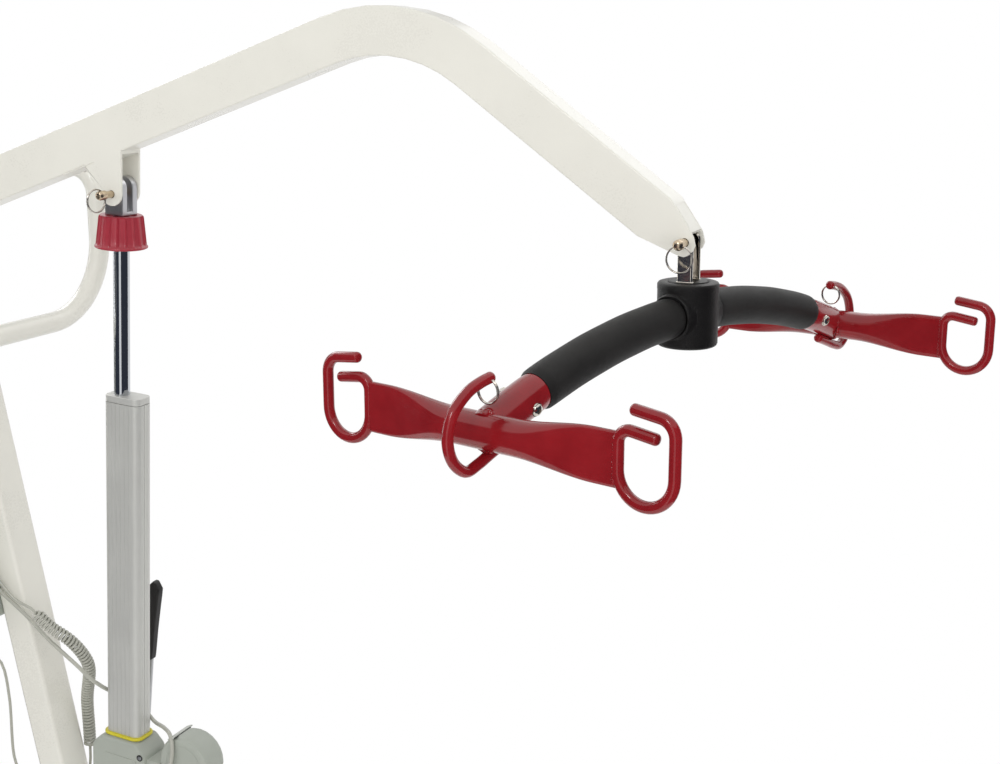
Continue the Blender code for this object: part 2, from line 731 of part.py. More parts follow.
def make_hanger():
    """Clevis that hangs on the boom pin and carries the hub on its stem."""
    rise = HANG_DROP
    half = PRONG_WIDE / 2
    seat = HUB_TALL / 2 - HANGER_DISC_TALL
    outline = [(-half, seat - rise), (half, seat - rise)] + arc((0, 0), half, 0, math.pi, 10)
    hanger = prism("hanger", outline, 'XZ', -PRONG_OUTER_HALF, PRONG_OUTER_HALF, CHROME, BOOM_PIN)
    inner = PRONG_OUTER_HALF - PRONG_THICK
    gap = box("hanger_gap", (-PRONG_WIDE, -inner, seat + HANGER_DISC_TALL * 0.5 - rise),
              (PRONG_WIDE, inner, PRONG_WIDE), None, BOOM_PIN)
    disc = cylinder("hanger_disc", HANGER_DISC_RADIUS, seat + SEAT_GAP - rise, seat + HANGER_DISC_TALL - rise,
                    'Z', None, BOOM_PIN, segments=20)
    stem = cylinder("hanger_stem", HANGER_STEM_RADIUS, -HUB_TALL / 2 + RUN_GAP - rise,
                    seat + SEAT_GAP * 2 - rise, 'Z', None, BOOM_PIN)
    hole = cylinder("hanger_hole", PIN_RADIUS + HOLE_GAP, -PRONG_WIDE, PRONG_WIDE, 'Y', None, BOOM_PIN)
    return cut(weld(cut(hanger, gap), disc, stem), hole)


def make_hub():
    """Moulded hub: a drum with a boss round each end of the centre bar and a recess for the hanger."""
    half = HUB_TALL / 2
    hub = cylinder("spreader_hub", HUB_RADIUS, -half, half, 'Z', MOULDED_BLACK, HUB, SPREADER_TURN,
                   segments=20)
    boss = cylinder("hub_boss", HUB_BOSS_RADIUS, -HUB_BOSS_REACH, HUB_BOSS_REACH, 'Y', None, HUB,
                    SPREADER_TURN, segments=20)
    way = arch_bar("hub_way", -HUB_RADIUS * 2, HUB_RADIUS * 2, 3, BAR_TUBE_RADIUS + BAR_CLEAR, 14)
    recess = cylinder("hub_recess", HANGER_DISC_RADIUS + RUN_GAP, half - HANGER_DISC_TALL, half * 2, 'Z',
                      None, HUB, SPREADER_TURN, segments=20)
    bore = cylinder("hub_bore", HANGER_STEM_RADIUS + RUN_GAP, -half * 2, half, 'Z', None, HUB, SPREADER_TURN)
    return cut(weld(hub, boss), way, recess, bore)


def stub_bolt_spot(side):
    return arch_point(side * (SLEEVE_END + STUB_LAP / 2))


def make_centre_bar():
    end = SLEEVE_END + STUB_LAP
    bar_item = arch_bar("centre_bar", -end, end, 8, BAR_TUBE_RADIUS, 14, STEEL)
    bore = cylinder("centre_bar_bore", HANGER_STEM_RADIUS + RUN_GAP, -HUB_TALL, HUB_TALL, 'Z', None, HUB,
                    SPREADER_TURN)
    cut(bar_item, bore)
    for side in (-1, 1):
        spot = stub_bolt_spot(side)
        cut(bar_item, cylinder(f"centre_bar_bolt_hole_{side}", BUTTON_HEAD_RADIUS / 2 + HOLE_GAP, -HUB_RADIUS,
                               HUB_RADIUS, 'X', None, HUB, SPREADER_TURN, segments=10,
                               centre=(spot.y, spot.z)))
    return bar_item


def make_sleeve(name, side):
    """Foam grip over one arm of the centre bar."""
    start = side * (HUB_BOSS_REACH + RUN_GAP * 2)
    sleeve = arch_bar(name, start, side * SLEEVE_END, 5, SLEEVE_RADIUS, 16, FOAM_BLACK)
    way = arch_bar(name + "_way", side * HUB_RADIUS * 0.5, side * (SLEEVE_END + STUB_LAP), 6,
                   BAR_TUBE_RADIUS + BAR_CLEAR, 14)
    return cut(sleeve, way)


CROSSBAR_SIDES = 12


def crossbar_section(along):
    """Ring of points round the crossbar: a round tube that is pressed flat towards its ends."""
    blend = min(max((abs(along) - CROSSBAR_ROUND_HALF) / (CROSSBAR_HALF * 0.85 - CROSSBAR_ROUND_HALF), 0), 1)
    blend = blend * blend * (3 - 2 * blend)
    tall = CROSSBAR_RADIUS + (PRESSED_TALL / 2 - CROSSBAR_RADIUS) * blend
    thick = CROSSBAR_RADIUS + (PRESSED_THICK / 2 - CROSSBAR_RADIUS) * blend
    power = 1 - 0.45 * blend
    ring = []
    for k in range(CROSSBAR_SIDES):
        angle = 2 * math.pi * k / CROSSBAR_SIDES
        across = math.copysign(abs(math.cos(angle)) ** power, math.cos(angle)) * thick
        up = math.copysign(abs(math.sin(angle)) ** power, math.sin(angle)) * tall
        ring.append((along, across, up))
    return ring


def pressed_tube(name, look, place, turn):
    """Loft the crossbar's sections from end to end."""
    stations = [0.0]
    stations += [CROSSBAR_ROUND_HALF + (CROSSBAR_HALF - CROSSBAR_ROUND_HALF) * k / 4 for k in range(5)]
    stations = [-s for s in reversed(stations[1:])] + stations
    bm = bmesh.new()
    rings = [[bm.verts.new(p) for p in crossbar_section(s)] for s in stations]
    for one, two in zip(rings, rings[1:]):
        for k in range(CROSSBAR_SIDES):
            after = (k + 1) % CROSSBAR_SIDES
            bm.faces.new((one[k], one[after], two[after], two[k]))
    bm.faces.new(rings[0])
    bm.faces.new(rings[-1])
    return link(name, bm, look, place, turn, smooth=40)


def end_hook_route(side):
    """Open hook: both ends of the rod lie one above the other over the loop."""
    inner, outer = HOOK_INNER, HOOK_OUTER
    half = HOOK_WIDTH / 2
    arm, top, low = HOOK_TOP_LIFT - 0.0015, HOOK_TOP_LIFT + HOOK_MOUTH - 0.0015, -HOOK_DROP * 0.6
    start = fillet_route([(inner + HOOK_INNER_ARM, 0, arm), (inner, 0, arm), (inner, 0, low + half)],
                         HOOK_BEND, 2)
    bottom = [Vector((x, 0, z)) for x, z in arc((inner + half, low + half), half, math.pi, 2 * math.pi, 7)]
    finish = fillet_route([(outer, 0, low + half), (outer, 0, top), (outer - HOOK_OUTER_ARM, 0, top)],
                          HOOK_BEND * 1.4, 3)
    return [Vector((side * p.x, p.y, p.z)) for p in start[:-1] + bottom + finish[1:]]


MIDDLE_HOOK = ((-0.011, 0.056), (0.010, 0.053), (0.0286, 0.046), (0.048, 0.030), (0.057, 0.004),
               (0.050, -0.020), (0.030, -0.036), (0.008, -0.033), (-0.008, -0.018))
MIDDLE_HOOK_HOLE = (-0.004, 0.0553)


def make_crossbar(name, side):
    """Crossbar with its welded stub, two end hooks and the middle hook."""
    place = HUB + Matrix.Rotation(BAR_TURN, 3, 'Z') @ Vector((0, side * CROSSBAR_REACH, CROSSBAR_HEIGHT))
    item = pressed_tube(name, DEEP_RED, place, SPREADER_TURN)
    stub = arch_bar(name + "_stub", side * (SLEEVE_END + SEAT_GAP), side * CROSSBAR_REACH, 2, STUB_RADIUS, 16)
    hooks = [bar(f"{name}_hook_{end}", end_hook_route(end), HOOK_ROD_RADIUS, 6, None, place, SPREADER_TURN)
             for end in (-1, 1)]
    middle = smooth_route([(0, side * out, up) for out, up in MIDDLE_HOOK], 11)
    hook = bar(name + "_middle_hook", middle, HOOK_ROD_RADIUS, 6, None, place, SPREADER_TURN)
    socket = arch_bar(name + "_socket", side * HUB_RADIUS, side * (SLEEVE_END + STUB_LAP + SEAT_GAP), 5,
                      BAR_TUBE_RADIUS + BAR_CLEAR, 14)
    spot = stub_bolt_spot(side)
    bolt_hole = cylinder(name + "_bolt_hole", BUTTON_HEAD_RADIUS / 2 + HOLE_GAP, -HUB_RADIUS, HUB_RADIUS, 'X',
                         None, HUB, SPREADER_TURN, segments=10, centre=(spot.y, spot.z))
    ring_hole = cylinder(name + "_ring_hole", RING_HOLE, -HOOK_ROD_RADIUS * 2, HOOK_ROD_RADIUS * 2, 'X',
                         None, place, SPREADER_TURN, segments=10,
                         centre=(side * MIDDLE_HOOK_HOLE[0], MIDDLE_HOOK_HOLE[1]))
    weld(item, stub, *hooks, hook)
    return cut(item, socket, bolt_hole, ring_hole)


def ring_spot(side):
    """World position of the hole that the middle hook's split ring hangs from."""
    local = Vector((0, side * (CROSSBAR_REACH + MIDDLE_HOOK_HOLE[0]), CROSSBAR_HEIGHT + MIDDLE_HOOK_HOLE[1]))
    return HUB + Matrix.Rotation(BAR_TURN, 3, 'Z') @ local


def make_spreader_bolt(name, side):
    """Button head bolt through a stub, its nut on the far side."""
    shaft = BUTTON_HEAD_RADIUS / 2
    half = STUB_RADIUS + SEAT_GAP
    bolt = bolt_mesh(shaft, BUTTON_HEAD_RADIUS, -half, half, shaft, shaft * 1.5, round_head=True)
    return link(name, moved(bolt, stub_bolt_spot(side), 'X'), CHROME, HUB, SPREADER_TURN)


# Actuator, in its own frame: origin at the upper pin, Z up along the rod

ACTUATOR_TURN = (0, ACTUATOR_LEAN, 0)
COLLAR_LOW = -RING_COLLAR_START - RING_COLLAR_TALL
TUBE_TOP = -ROD_SHOWN - CAP_THICK - SEAT_GAP
TUBE_LOW = TUBE_TOP - PROFILE_LENGTH
GEARBOX_TOP = TUBE_LOW - SEAT_GAP
ROD_LENGTH = 0.409


def profile_outline(grow=0.0):
    """Cross-section of the aluminium profile, long side along X, ahead of the rod's axis."""
    corner = PROFILE_CORNER + grow
    return [(x + PROFILE_SHIFT, y) for x, y in
            rounded_rectangle(PROFILE_LONG + grow * 2, PROFILE_WIDE + grow * 2, corner, 3)]


def make_rod_fork():
    radius = FORK_LONG / 2
    base = -RING_COLLAR_START + SEAT_GAP
    outline = [(-radius, base), (radius, base)] + arc((0, 0.002), radius, 0, math.pi, 12)
    half = FORK_WIDE / 2
    fork = prism("rod_fork", outline, 'XZ', -half, half, STEEL, ACTUATOR_PIN, ACTUATOR_TURN)
    slot = box("fork_slot", (-FORK_LONG, -FORK_SLOT / 2, base + 0.005), (FORK_LONG, FORK_SLOT / 2, FORK_LONG),
               None, ACTUATOR_PIN, ACTUATOR_TURN)
    hole = cylinder("fork_hole", PIN_RADIUS + HOLE_GAP, -FORK_WIDE, FORK_WIDE, 'Y', None, ACTUATOR_PIN,
                    ACTUATOR_TURN)
    return cut(fork, slot, hole)


def make_piston_rod():
    top = -RING_COLLAR_START
    return cylinder("piston_rod", ROD_RADIUS, top - ROD_LENGTH, top, 'Z', STEEL, ACTUATOR_PIN, ACTUATOR_TURN,
                    segments=24)


def make_release_collar():
    """Fluted collar that is turned by hand to let the boom down in an emergency."""
    bore = ROD_RADIUS + RUN_GAP
    top = COLLAR_LOW + RING_COLLAR_TALL - SEAT_GAP
    profile = [(bore, COLLAR_LOW), (RING_COLLAR_FLANGE_RADIUS, COLLAR_LOW),
               (RING_COLLAR_FLANGE_RADIUS, COLLAR_LOW + 0.003),
               (RING_COLLAR_BOTTOM_RADIUS, COLLAR_LOW + 0.0055), (RING_COLLAR_TOP_RADIUS, top - 0.003),
               (RING_COLLAR_TOP_RADIUS - 0.002, top), (bore, top)]

    def flute(angle, index):
        if index not in (3, 4):
            return 1.0
        return 1.0 - 0.025 * (1 + math.cos(FLUTES * angle))

    return ring_solid("release_collar", profile, FLUTES * 2, COLLAR_RED, ACTUATOR_PIN, ACTUATOR_TURN, flute)


def make_actuator_tube():
    tube = prism("actuator_tube", profile_outline(), 'XY', TUBE_LOW, TUBE_TOP, ALUMINIUM, ACTUATOR_PIN,
                 ACTUATOR_TURN)
    bore = prism("actuator_tube_bore", profile_outline(-PROFILE_WALL), 'XY', TUBE_LOW - CAP_THICK,
                 TUBE_TOP + CAP_THICK, None, ACTUATOR_PIN, ACTUATOR_TURN)
    return cut(tube, bore)


def make_tube_cap():
    cap = prism("tube_cap", profile_outline(), 'XY', -ROD_SHOWN - CAP_THICK, -ROD_SHOWN, ALUMINIUM,
                ACTUATOR_PIN, ACTUATOR_TURN)
    hole = cylinder("cap_hole", ROD_RADIUS + RUN_GAP, -ROD_SHOWN - CAP_THICK * 2, -ROD_SHOWN + CAP_THICK, 'Z',
                    None, ACTUATOR_PIN, ACTUATOR_TURN, segments=24)
    return cut(cap, hole)


def make_seal_ring():
    """Yellow seal between the profile and the gearbox."""
    low = GEARBOX_TOP + SEAT_GAP
    ring = prism("seal_ring", profile_outline(0.0045), 'XY', low, low + 0.004, SEAL_YELLOW, ACTUATOR_PIN,
                 ACTUATOR_TURN)
    way = prism("seal_way", profile_outline(SEAT_GAP), 'XY', low - 0.01, low + 0.02, None, ACTUATOR_PIN,
                ACTUATOR_TURN)
    return cut(ring, way)


GEARBOX_REAR = PROFILE_SHIFT - GEARBOX_LONG / 2
GEARBOX_FRONT = PROFILE_SHIFT + GEARBOX_LONG / 2
GEARBOX_LOW = GEARBOX_TOP - GEARBOX_TALL
MOTOR_SPOT = (MOTOR_AHEAD, GEARBOX_TOP - MOTOR_DROP)
SOCKET_SPOT = (MOTOR_SPOT[0] - SOCKET_BEHIND_MOTOR, SOCKET_SIDE)
SOCKET_TOP = MOTOR_SPOT[1] - SOCKET_UNDER_MOTOR


def make_gearbox():
    """Cast gearbox with sloping shoulders, a neck to the motor and the lower mounting lug."""
    shoulder = 0.018
    outline = [(GEARBOX_REAR, GEARBOX_LOW), (GEARBOX_FRONT, GEARBOX_LOW),
               (GEARBOX_FRONT, GEARBOX_TOP - shoulder), (GEARBOX_FRONT - shoulder, GEARBOX_TOP),
               (GEARBOX_REAR + shoulder, GEARBOX_TOP), (GEARBOX_REAR, GEARBOX_TOP - shoulder)]
    half = GEARBOX_WIDE / 2
    gearbox = prism("gearbox", outline, 'XZ', -half, half, HOUSING_GREY, ACTUATOR_PIN, ACTUATOR_TURN)
    soften(gearbox, 0.006, 2)
    neck = box("gearbox_neck", (GEARBOX_FRONT - 0.01, -half * 0.7, GEARBOX_LOW + 0.035),
               (MOTOR_SPOT[0] - MOTOR_RADIUS * 0.75, half * 0.7, GEARBOX_TOP - 0.024), None, ACTUATOR_PIN,
               ACTUATOR_TURN)
    lug_outline = [(LUG_RADIUS, GEARBOX_LOW + 0.006), (-LUG_RADIUS, GEARBOX_LOW + 0.006)] + \
        arc((0, -ACTUATOR_LENGTH), LUG_RADIUS, math.pi, 2 * math.pi, 12)
    lug = prism("gearbox_lug", lug_outline, 'XZ', -LUG_WIDE / 2, LUG_WIDE / 2, None, ACTUATOR_PIN,
                ACTUATOR_TURN)
    saddle = cylinder("motor_saddle", MOTOR_RADIUS + SEAT_GAP, -half * 2, half * 2, 'Y', None, ACTUATOR_PIN,
                      ACTUATOR_TURN, segments=24, centre=MOTOR_SPOT)
    eye = cylinder("lug_eye", LOWER_BOLT_RADIUS + HOLE_GAP, -LUG_WIDE, LUG_WIDE, 'Y', None, ACTUATOR_PIN,
                   ACTUATOR_TURN, centre=(0, -ACTUATOR_LENGTH))
    weld(gearbox, neck, lug)
    return cut(gearbox, saddle, eye)


def make_motor():
    """Drum of the motor with the socket block that takes the lead from above."""
    motor = cylinder("motor_housing", MOTOR_RADIUS, -MOTOR_WIDE / 2, MOTOR_WIDE / 2, 'Y', HOUSING_GREY,
                     ACTUATOR_PIN, ACTUATOR_TURN, segments=24, centre=MOTOR_SPOT)
    soften(motor, 0.011, 2)
    half = SOCKET_SIZE / 2
    socket = box("motor_socket", (SOCKET_SPOT[0] - half, SOCKET_SPOT[1] - half, SOCKET_TOP - SOCKET_SIZE),
                 (SOCKET_SPOT[0] + half, -MOTOR_WIDE / 4, SOCKET_TOP), None, ACTUATOR_PIN, ACTUATOR_TURN)
    return weld(motor, socket)


# Mast, in its own frame: origin at the foot, Z up along the tube

MAST_TURN = (0, -MAST_LEAN, 0)
MAST_LENGTH = (BOOM_PIVOT - MAST_FOOT).length - MAST_TOP_DROP
MAST_CORNER = 0.006
HANDLE_SPOT = mast_point(BOOM_PIVOT.z - HANDLE_DROP)


def make_mast():
    """Mast tube with its welded head, two ears for the boom and two for the actuator's lower end."""
    mast = prism("mast", rounded_rectangle(MAST_LONG, MAST_WIDE, MAST_CORNER), 'XY', 0, MAST_LENGTH,
                 OFF_WHITE, MAST_FOOT, MAST_TURN, smooth=20)
    inside = rounded_rectangle(MAST_LONG - MAST_WALL * 2, MAST_WIDE - MAST_WALL * 2, MAST_CORNER - MAST_WALL)
    bore = prism("mast_bore", inside, 'XY', -MAST_WALL, MAST_LENGTH + MAST_WALL, None, MAST_FOOT, MAST_TURN)
    cut(mast, bore)
    weld_mast_head(mast)
    weld_mast_bracket(mast)
    way = cylinder("mast_handle_way", HANDLE_TUBE_RADIUS + HANDLE_CLEAR, -MAST_WIDE, MAST_WIDE, 'Y', None,
                   HANDLE_SPOT, MAST_TURN, segments=16)
    return cut(mast, way)


def weld_mast_head(mast):
    """Cap plate with the two ears that hold the boom between them."""
    low = -MAST_TOP_DROP - MAST_WALL
    plate_top = -MAST_TOP_DROP + 0.008
    half_long = MAST_LONG / 2
    outline = [(-half_long, low), (half_long, low)] + arc((0, 0), PIVOT_EAR_RADIUS, math.radians(-20),
                                                        math.radians(200), 10)
    head = prism("mast_head", outline, 'XZ', -MAST_WIDE / 2, MAST_WIDE / 2, None, BOOM_PIVOT, MAST_TURN)
    inner = BOOM_WIDTH / 2 + RUN_GAP
    gap = box("mast_head_gap", (-MAST_LONG, -inner, plate_top), (MAST_LONG, inner, MAST_LONG), None,
              BOOM_PIVOT, MAST_TURN)
    hole = cylinder("mast_head_hole", PIVOT_BOLT_RADIUS + HOLE_GAP, -MAST_WIDE, MAST_WIDE, 'Y', None,
                    BOOM_PIVOT)
    return cut(weld(mast, head), gap, hole)


LOWER_EAR_RADIUS = 0.0165
LOWER_EAR_INNER = LUG_WIDE / 2 + RUN_GAP
LOWER_EAR_OUTER = LOWER_EAR_INNER + LOWER_EAR_PLATE
LOWER_EAR_WEB = 0.028


def weld_mast_bracket(mast):
    """Two ears on the mast's front face, joined by a web next to the mast."""
    def mast_face(rise, off):
        return flat(mast_point(LOWER_PIN.z + rise) + MAST_FRONT * (MAST_LONG / 2 + off) - LOWER_PIN)

    tip = arc((0, 0), LOWER_EAR_RADIUS, math.radians(-65), math.radians(90), 7)
    outline = [mast_face(-0.080, -MAST_WALL / 2)] + tip + [mast_face(LOWER_EAR_RADIUS, -MAST_WALL / 2)]
    bracket = prism("mast_bracket", outline, 'XZ', -LOWER_EAR_OUTER, LOWER_EAR_OUTER, None, LOWER_PIN)
    web = mast_face(LOWER_EAR_RADIUS, LOWER_EAR_WEB)[0]
    slot = box("mast_bracket_slot", (web, -LOWER_EAR_INNER, -LOWER_EAR_RADIUS * 5),
               (LOWER_EAR_RADIUS * 2, LOWER_EAR_INNER, LOWER_EAR_RADIUS * 2), None, LOWER_PIN)
    hole = cylinder("mast_bracket_hole", LOWER_BOLT_RADIUS + HOLE_GAP, -LOWER_EAR_OUTER * 2,
                    LOWER_EAR_OUTER * 2, 'Y', None, LOWER_PIN)
    return cut(weld(mast, bracket), slot, hole)


def make_lower_bolt(name, flip):
    """Stub bolt that ends flush with the inner face of its ear."""
    low, high = LOWER_EAR_INNER, LOWER_EAR_OUTER + SEAT_GAP
    bolt = bolt_mesh(LOWER_BOLT_RADIUS, LOWER_BOLT_RADIUS * 1.8, low, high, LOWER_BOLT_RADIUS)
    return link(name, moved(bolt, axis='Y', flip=flip), STEEL, LOWER_PIN)


def make_push_handle():
    """One bent tube through the mast: two arms that rise and turn back into the grips."""
    back, rise = -HANDLE_TOP_BEND - GRIP_LENGTH, HANDLE_RISE
    half = [(back, HANDLE_HALF, rise), (0, HANDLE_HALF, rise), (0, HANDLE_HALF, 0), (0, 0, 0)]
    upper = fillet_route(half[:3], HANDLE_TOP_BEND, 3)
    lower = fillet_route(half[1:], HANDLE_BEND, 5)
    left = upper[:-1] + lower[1:]
    right = [Vector((p.x, -p.y, p.z)) for p in reversed(left[:-1])]
    return bar("push_handle", left + right, HANDLE_TUBE_RADIUS, 12, OFF_WHITE, HANDLE_SPOT)


def make_handle_grip(name, side):
    """Rubber grip, closed at the rear."""
    sides = 14
    inner = (HANDLE_TUBE_RADIUS + SEAT_GAP) / math.cos(math.pi / sides)
    outer = HANDLE_TUBE_RADIUS + GRIP_WALL
    rear = -HANDLE_TOP_BEND - GRIP_LENGTH
    front = rear + GRIP_LENGTH
    flange = 0.003
    profile = [(0, rear - GRIP_WALL), (outer - 0.002, rear - GRIP_WALL), (outer, rear - GRIP_WALL + 0.002),
               (outer, front - flange - 0.001), (outer + flange, front - flange), (outer + flange, front),
               (inner, front), (inner, rear - SEAT_GAP), (0, rear - SEAT_GAP)]
    grip = moved(axis_lathe_mesh(profile, sides), (0, side * HANDLE_HALF, HANDLE_RISE), 'X')
    return link(name, grip, MOULDED_BLACK, HANDLE_SPOT)


# Base and legs; heights are measured from the floor

BASE = Vector((BASE_X, 0, 0))
CLEVIS_PLATE = 0.007
CLEVIS_RADIUS = 0.030
TONGUE_RADIUS = 0.028
CASTER_SPACE = 0.030
REAR_CASTER_BACK = REAR_ARM_BACK + CASTER_SPACE


def make_base_frame():
    """Welded base: cross tube, clevises, rear arms with caster plates, mast socket, deck and cheeks."""
    half_long = CROSS_TUBE_LONG / 2
    end = LEG_PIVOT_HALF - TONGUE_RADIUS - 0.004
    tube = rounded_rectangle(CROSS_TUBE_LONG, LEG_TALL, 0.005)
    tube = [(x, z + BASE_UNDERSIDE + LEG_TALL / 2) for x, z in tube]
    base = prism("base_frame", tube, 'XZ', -end, end, OFF_WHITE, BASE, smooth=20)
    tools = []
    for side in (-1, 1):
        pivot = side * LEG_PIVOT_HALF
        for level in (BASE_UNDERSIDE, BASE_TOP - CLEVIS_PLATE):
            root = pivot - side * CLEVIS_RADIUS * 1.6
            turn = arc((0, pivot), CLEVIS_RADIUS, 0 if side > 0 else math.pi,
                       math.pi if side > 0 else 2 * math.pi, 7)
            outline = turn + ([(-CLEVIS_RADIUS, root), (CLEVIS_RADIUS, root)] if side > 0 else
                              [(CLEVIS_RADIUS, root), (-CLEVIS_RADIUS, root)])
            tools.append(prism(f"clevis_{side}_{level:.3f}", outline, 'XY', level, level + CLEVIS_PLATE, None,
                               BASE))
        arm = side * REAR_ARM_HALF
        half = LEG_TALL / 2
        tools.append(box(f"rear_arm_{side}", (-REAR_ARM_BACK, arm - half, BASE_UNDERSIDE),
                         (0, arm + half, BASE_TOP), None, BASE))
        plate = arc((-REAR_CASTER_BACK, arm), half, math.pi / 2, math.pi * 1.5, 6)
        plate += [(-REAR_ARM_BACK + half, arm - half), (-REAR_ARM_BACK + half, arm + half)]
        middle = BASE_UNDERSIDE + LEG_TALL * 0.65
        tools.append(prism(f"caster_plate_{side}", plate, 'XY', middle - BASE_PLATE / 2,
                           middle + BASE_PLATE / 2, None, BASE))
    deck = rounded_rectangle(BASE_PLATE_LONG, BASE_PLATE_WIDE, 0.015)
    deck = [(x - BASE_PLATE_SHIFT, y) for x, y in deck]
    tools.append(prism("base_deck", deck, 'XY', BASE_TOP - BASE_PLATE / 3, BASE_TOP + BASE_PLATE, None, BASE))
    for near in (LEVER_SIDE - LEVER_HUB_HALF - LEVER_CHEEK, LEVER_SIDE + LEVER_HUB_HALF):
        cheek = [(-LEVER_BACK - LEVER_CHEEK_RADIUS, BASE_TOP), (-LEVER_BACK + LEVER_CHEEK_RADIUS, BASE_TOP)]
        cheek += arc((-LEVER_BACK, LEVER_PIVOT_HEIGHT), LEVER_CHEEK_RADIUS, 0, math.pi, 6)
        tools.append(prism(f"lever_cheek_{near:.3f}", cheek, 'XZ', near, near + LEVER_CHEEK, None, BASE))
    wall = (SEAT_GAP + SOCKET_WALL) * 2
    tools.append(prism("mast_socket", rounded_rectangle(MAST_LONG + wall, MAST_WIDE + wall,
                                                        MAST_CORNER + SOCKET_WALL),
                       'XY', -0.012, MAST_SOCKET_TALL, None, MAST_FOOT, MAST_TURN))
    weld(base, *tools)
    pocket = prism("mast_pocket", rounded_rectangle(MAST_LONG + SEAT_GAP * 2, MAST_WIDE + SEAT_GAP * 2,
                                                    MAST_CORNER + SEAT_GAP), 'XY', -SEAT_GAP,
                                                    MAST_SOCKET_TALL * 2,
                   None, MAST_FOOT, MAST_TURN)
    holes = [cylinder("lever_axle_hole", LEVER_AXLE_RADIUS + HOLE_GAP, LEVER_SIDE - 0.03, LEVER_SIDE + 0.03,
                      'Y', None, BASE, centre=(-LEVER_BACK, LEVER_PIVOT_HEIGHT))]
    for side in (-1, 1):
        holes.append(cylinder(f"leg_bolt_hole_{side}", LEG_BOLT_RADIUS + HOLE_GAP, 0, BASE_TOP * 2, 'Z', None,
                              BASE, centre=(0, side * LEG_PIVOT_HALF)))
        holes.append(cylinder(f"rear_stem_hole_{side}", CASTER_STEM_RADIUS + RUN_GAP, 0, BASE_TOP * 2, 'Z',
                              None, BASE, centre=(-REAR_CASTER_BACK, side * REAR_ARM_HALF)))
    return cut(base, pocket, *holes)


def leg_outline(side, half, start, end):
    """Outline of the bent leg seen from above, half wide to each side of its centre line."""
    slope = math.atan2(LEG_OUT, LEG_BEND_AHEAD)
    out = Vector((math.cos(slope), math.sin(slope)))
    across = Vector((-out.y, out.x))
    first = out * start
    shift = half * math.tan(slope / 2)
    left = [first + across * half, Vector((LEG_BEND_AHEAD - shift, LEG_OUT + half)),
            Vector((end, LEG_OUT + half))]
    right = [first - across * half, Vector((LEG_BEND_AHEAD + shift, LEG_OUT - half)),
             Vector((end, LEG_OUT - half))]
    return [(p.x, side * p.y) for p in right + left[::-1]]


def make_leg(name, side):
    """Leg on its pivot: flat tongue, bent rectangular tube and the bores for its bolt and caster."""
    place = BASE + Vector((0, side * LEG_PIVOT_HALF, 0))
    start = CLEVIS_RADIUS * 1.5
    leg = prism(name, leg_outline(side, LEG_WIDE / 2, start, LEG_REACH), 'XY', BASE_UNDERSIDE, BASE_TOP,
                OFF_WHITE, place, smooth=20)
    bore = prism(name + "_bore", leg_outline(side, LEG_WIDE / 2 - LEG_WALL, start / 2, LEG_REACH - LEG_WALL),
                 'XY', BASE_UNDERSIDE + LEG_WALL, BASE_TOP - LEG_WALL, None, place)
    low, high = BASE_UNDERSIDE + CLEVIS_PLATE + RUN_GAP, BASE_TOP - CLEVIS_PLATE - RUN_GAP
    slope = math.atan2(LEG_OUT, LEG_BEND_AHEAD) * side
    tongue = arc((0, 0), TONGUE_RADIUS, slope + math.pi / 2, slope + math.pi * 1.5, 7)
    reach = LEG_WIDE / 2 - LEG_WALL / 2
    ahead = Vector((math.cos(slope), math.sin(slope))) * start * 1.8
    across = Vector((-math.sin(slope), math.cos(slope))) * reach
    tongue += [tuple(ahead - across), tuple(ahead + across)]
    tongue = prism(name + "_tongue", tongue, 'XY', low, high, None, place)
    bolt = cylinder(name + "_bolt_hole", LEG_BOLT_RADIUS + HOLE_GAP, 0, BASE_TOP * 2, 'Z', None, place)
    stem = cylinder(name + "_stem_hole", CASTER_STEM_RADIUS + RUN_GAP, 0, BASE_TOP * 2, 'Z', None, place,
                    centre=(LEG_REACH - CASTER_INSET, side * LEG_OUT))
    return cut(weld(cut(leg, bore), tongue), bolt, stem)


def make_leg_bolt(name, side):
    head = LEG_BOLT_RADIUS * 0.9
    bolt = bolt_mesh(LEG_BOLT_RADIUS, LEG_BOLT_RADIUS * 1.8, BASE_UNDERSIDE - SEAT_GAP, BASE_TOP + SEAT_GAP,
                     head, head)
    return link(name, bolt, STEEL, BASE + Vector((0, side * LEG_PIVOT_HALF, 0)))


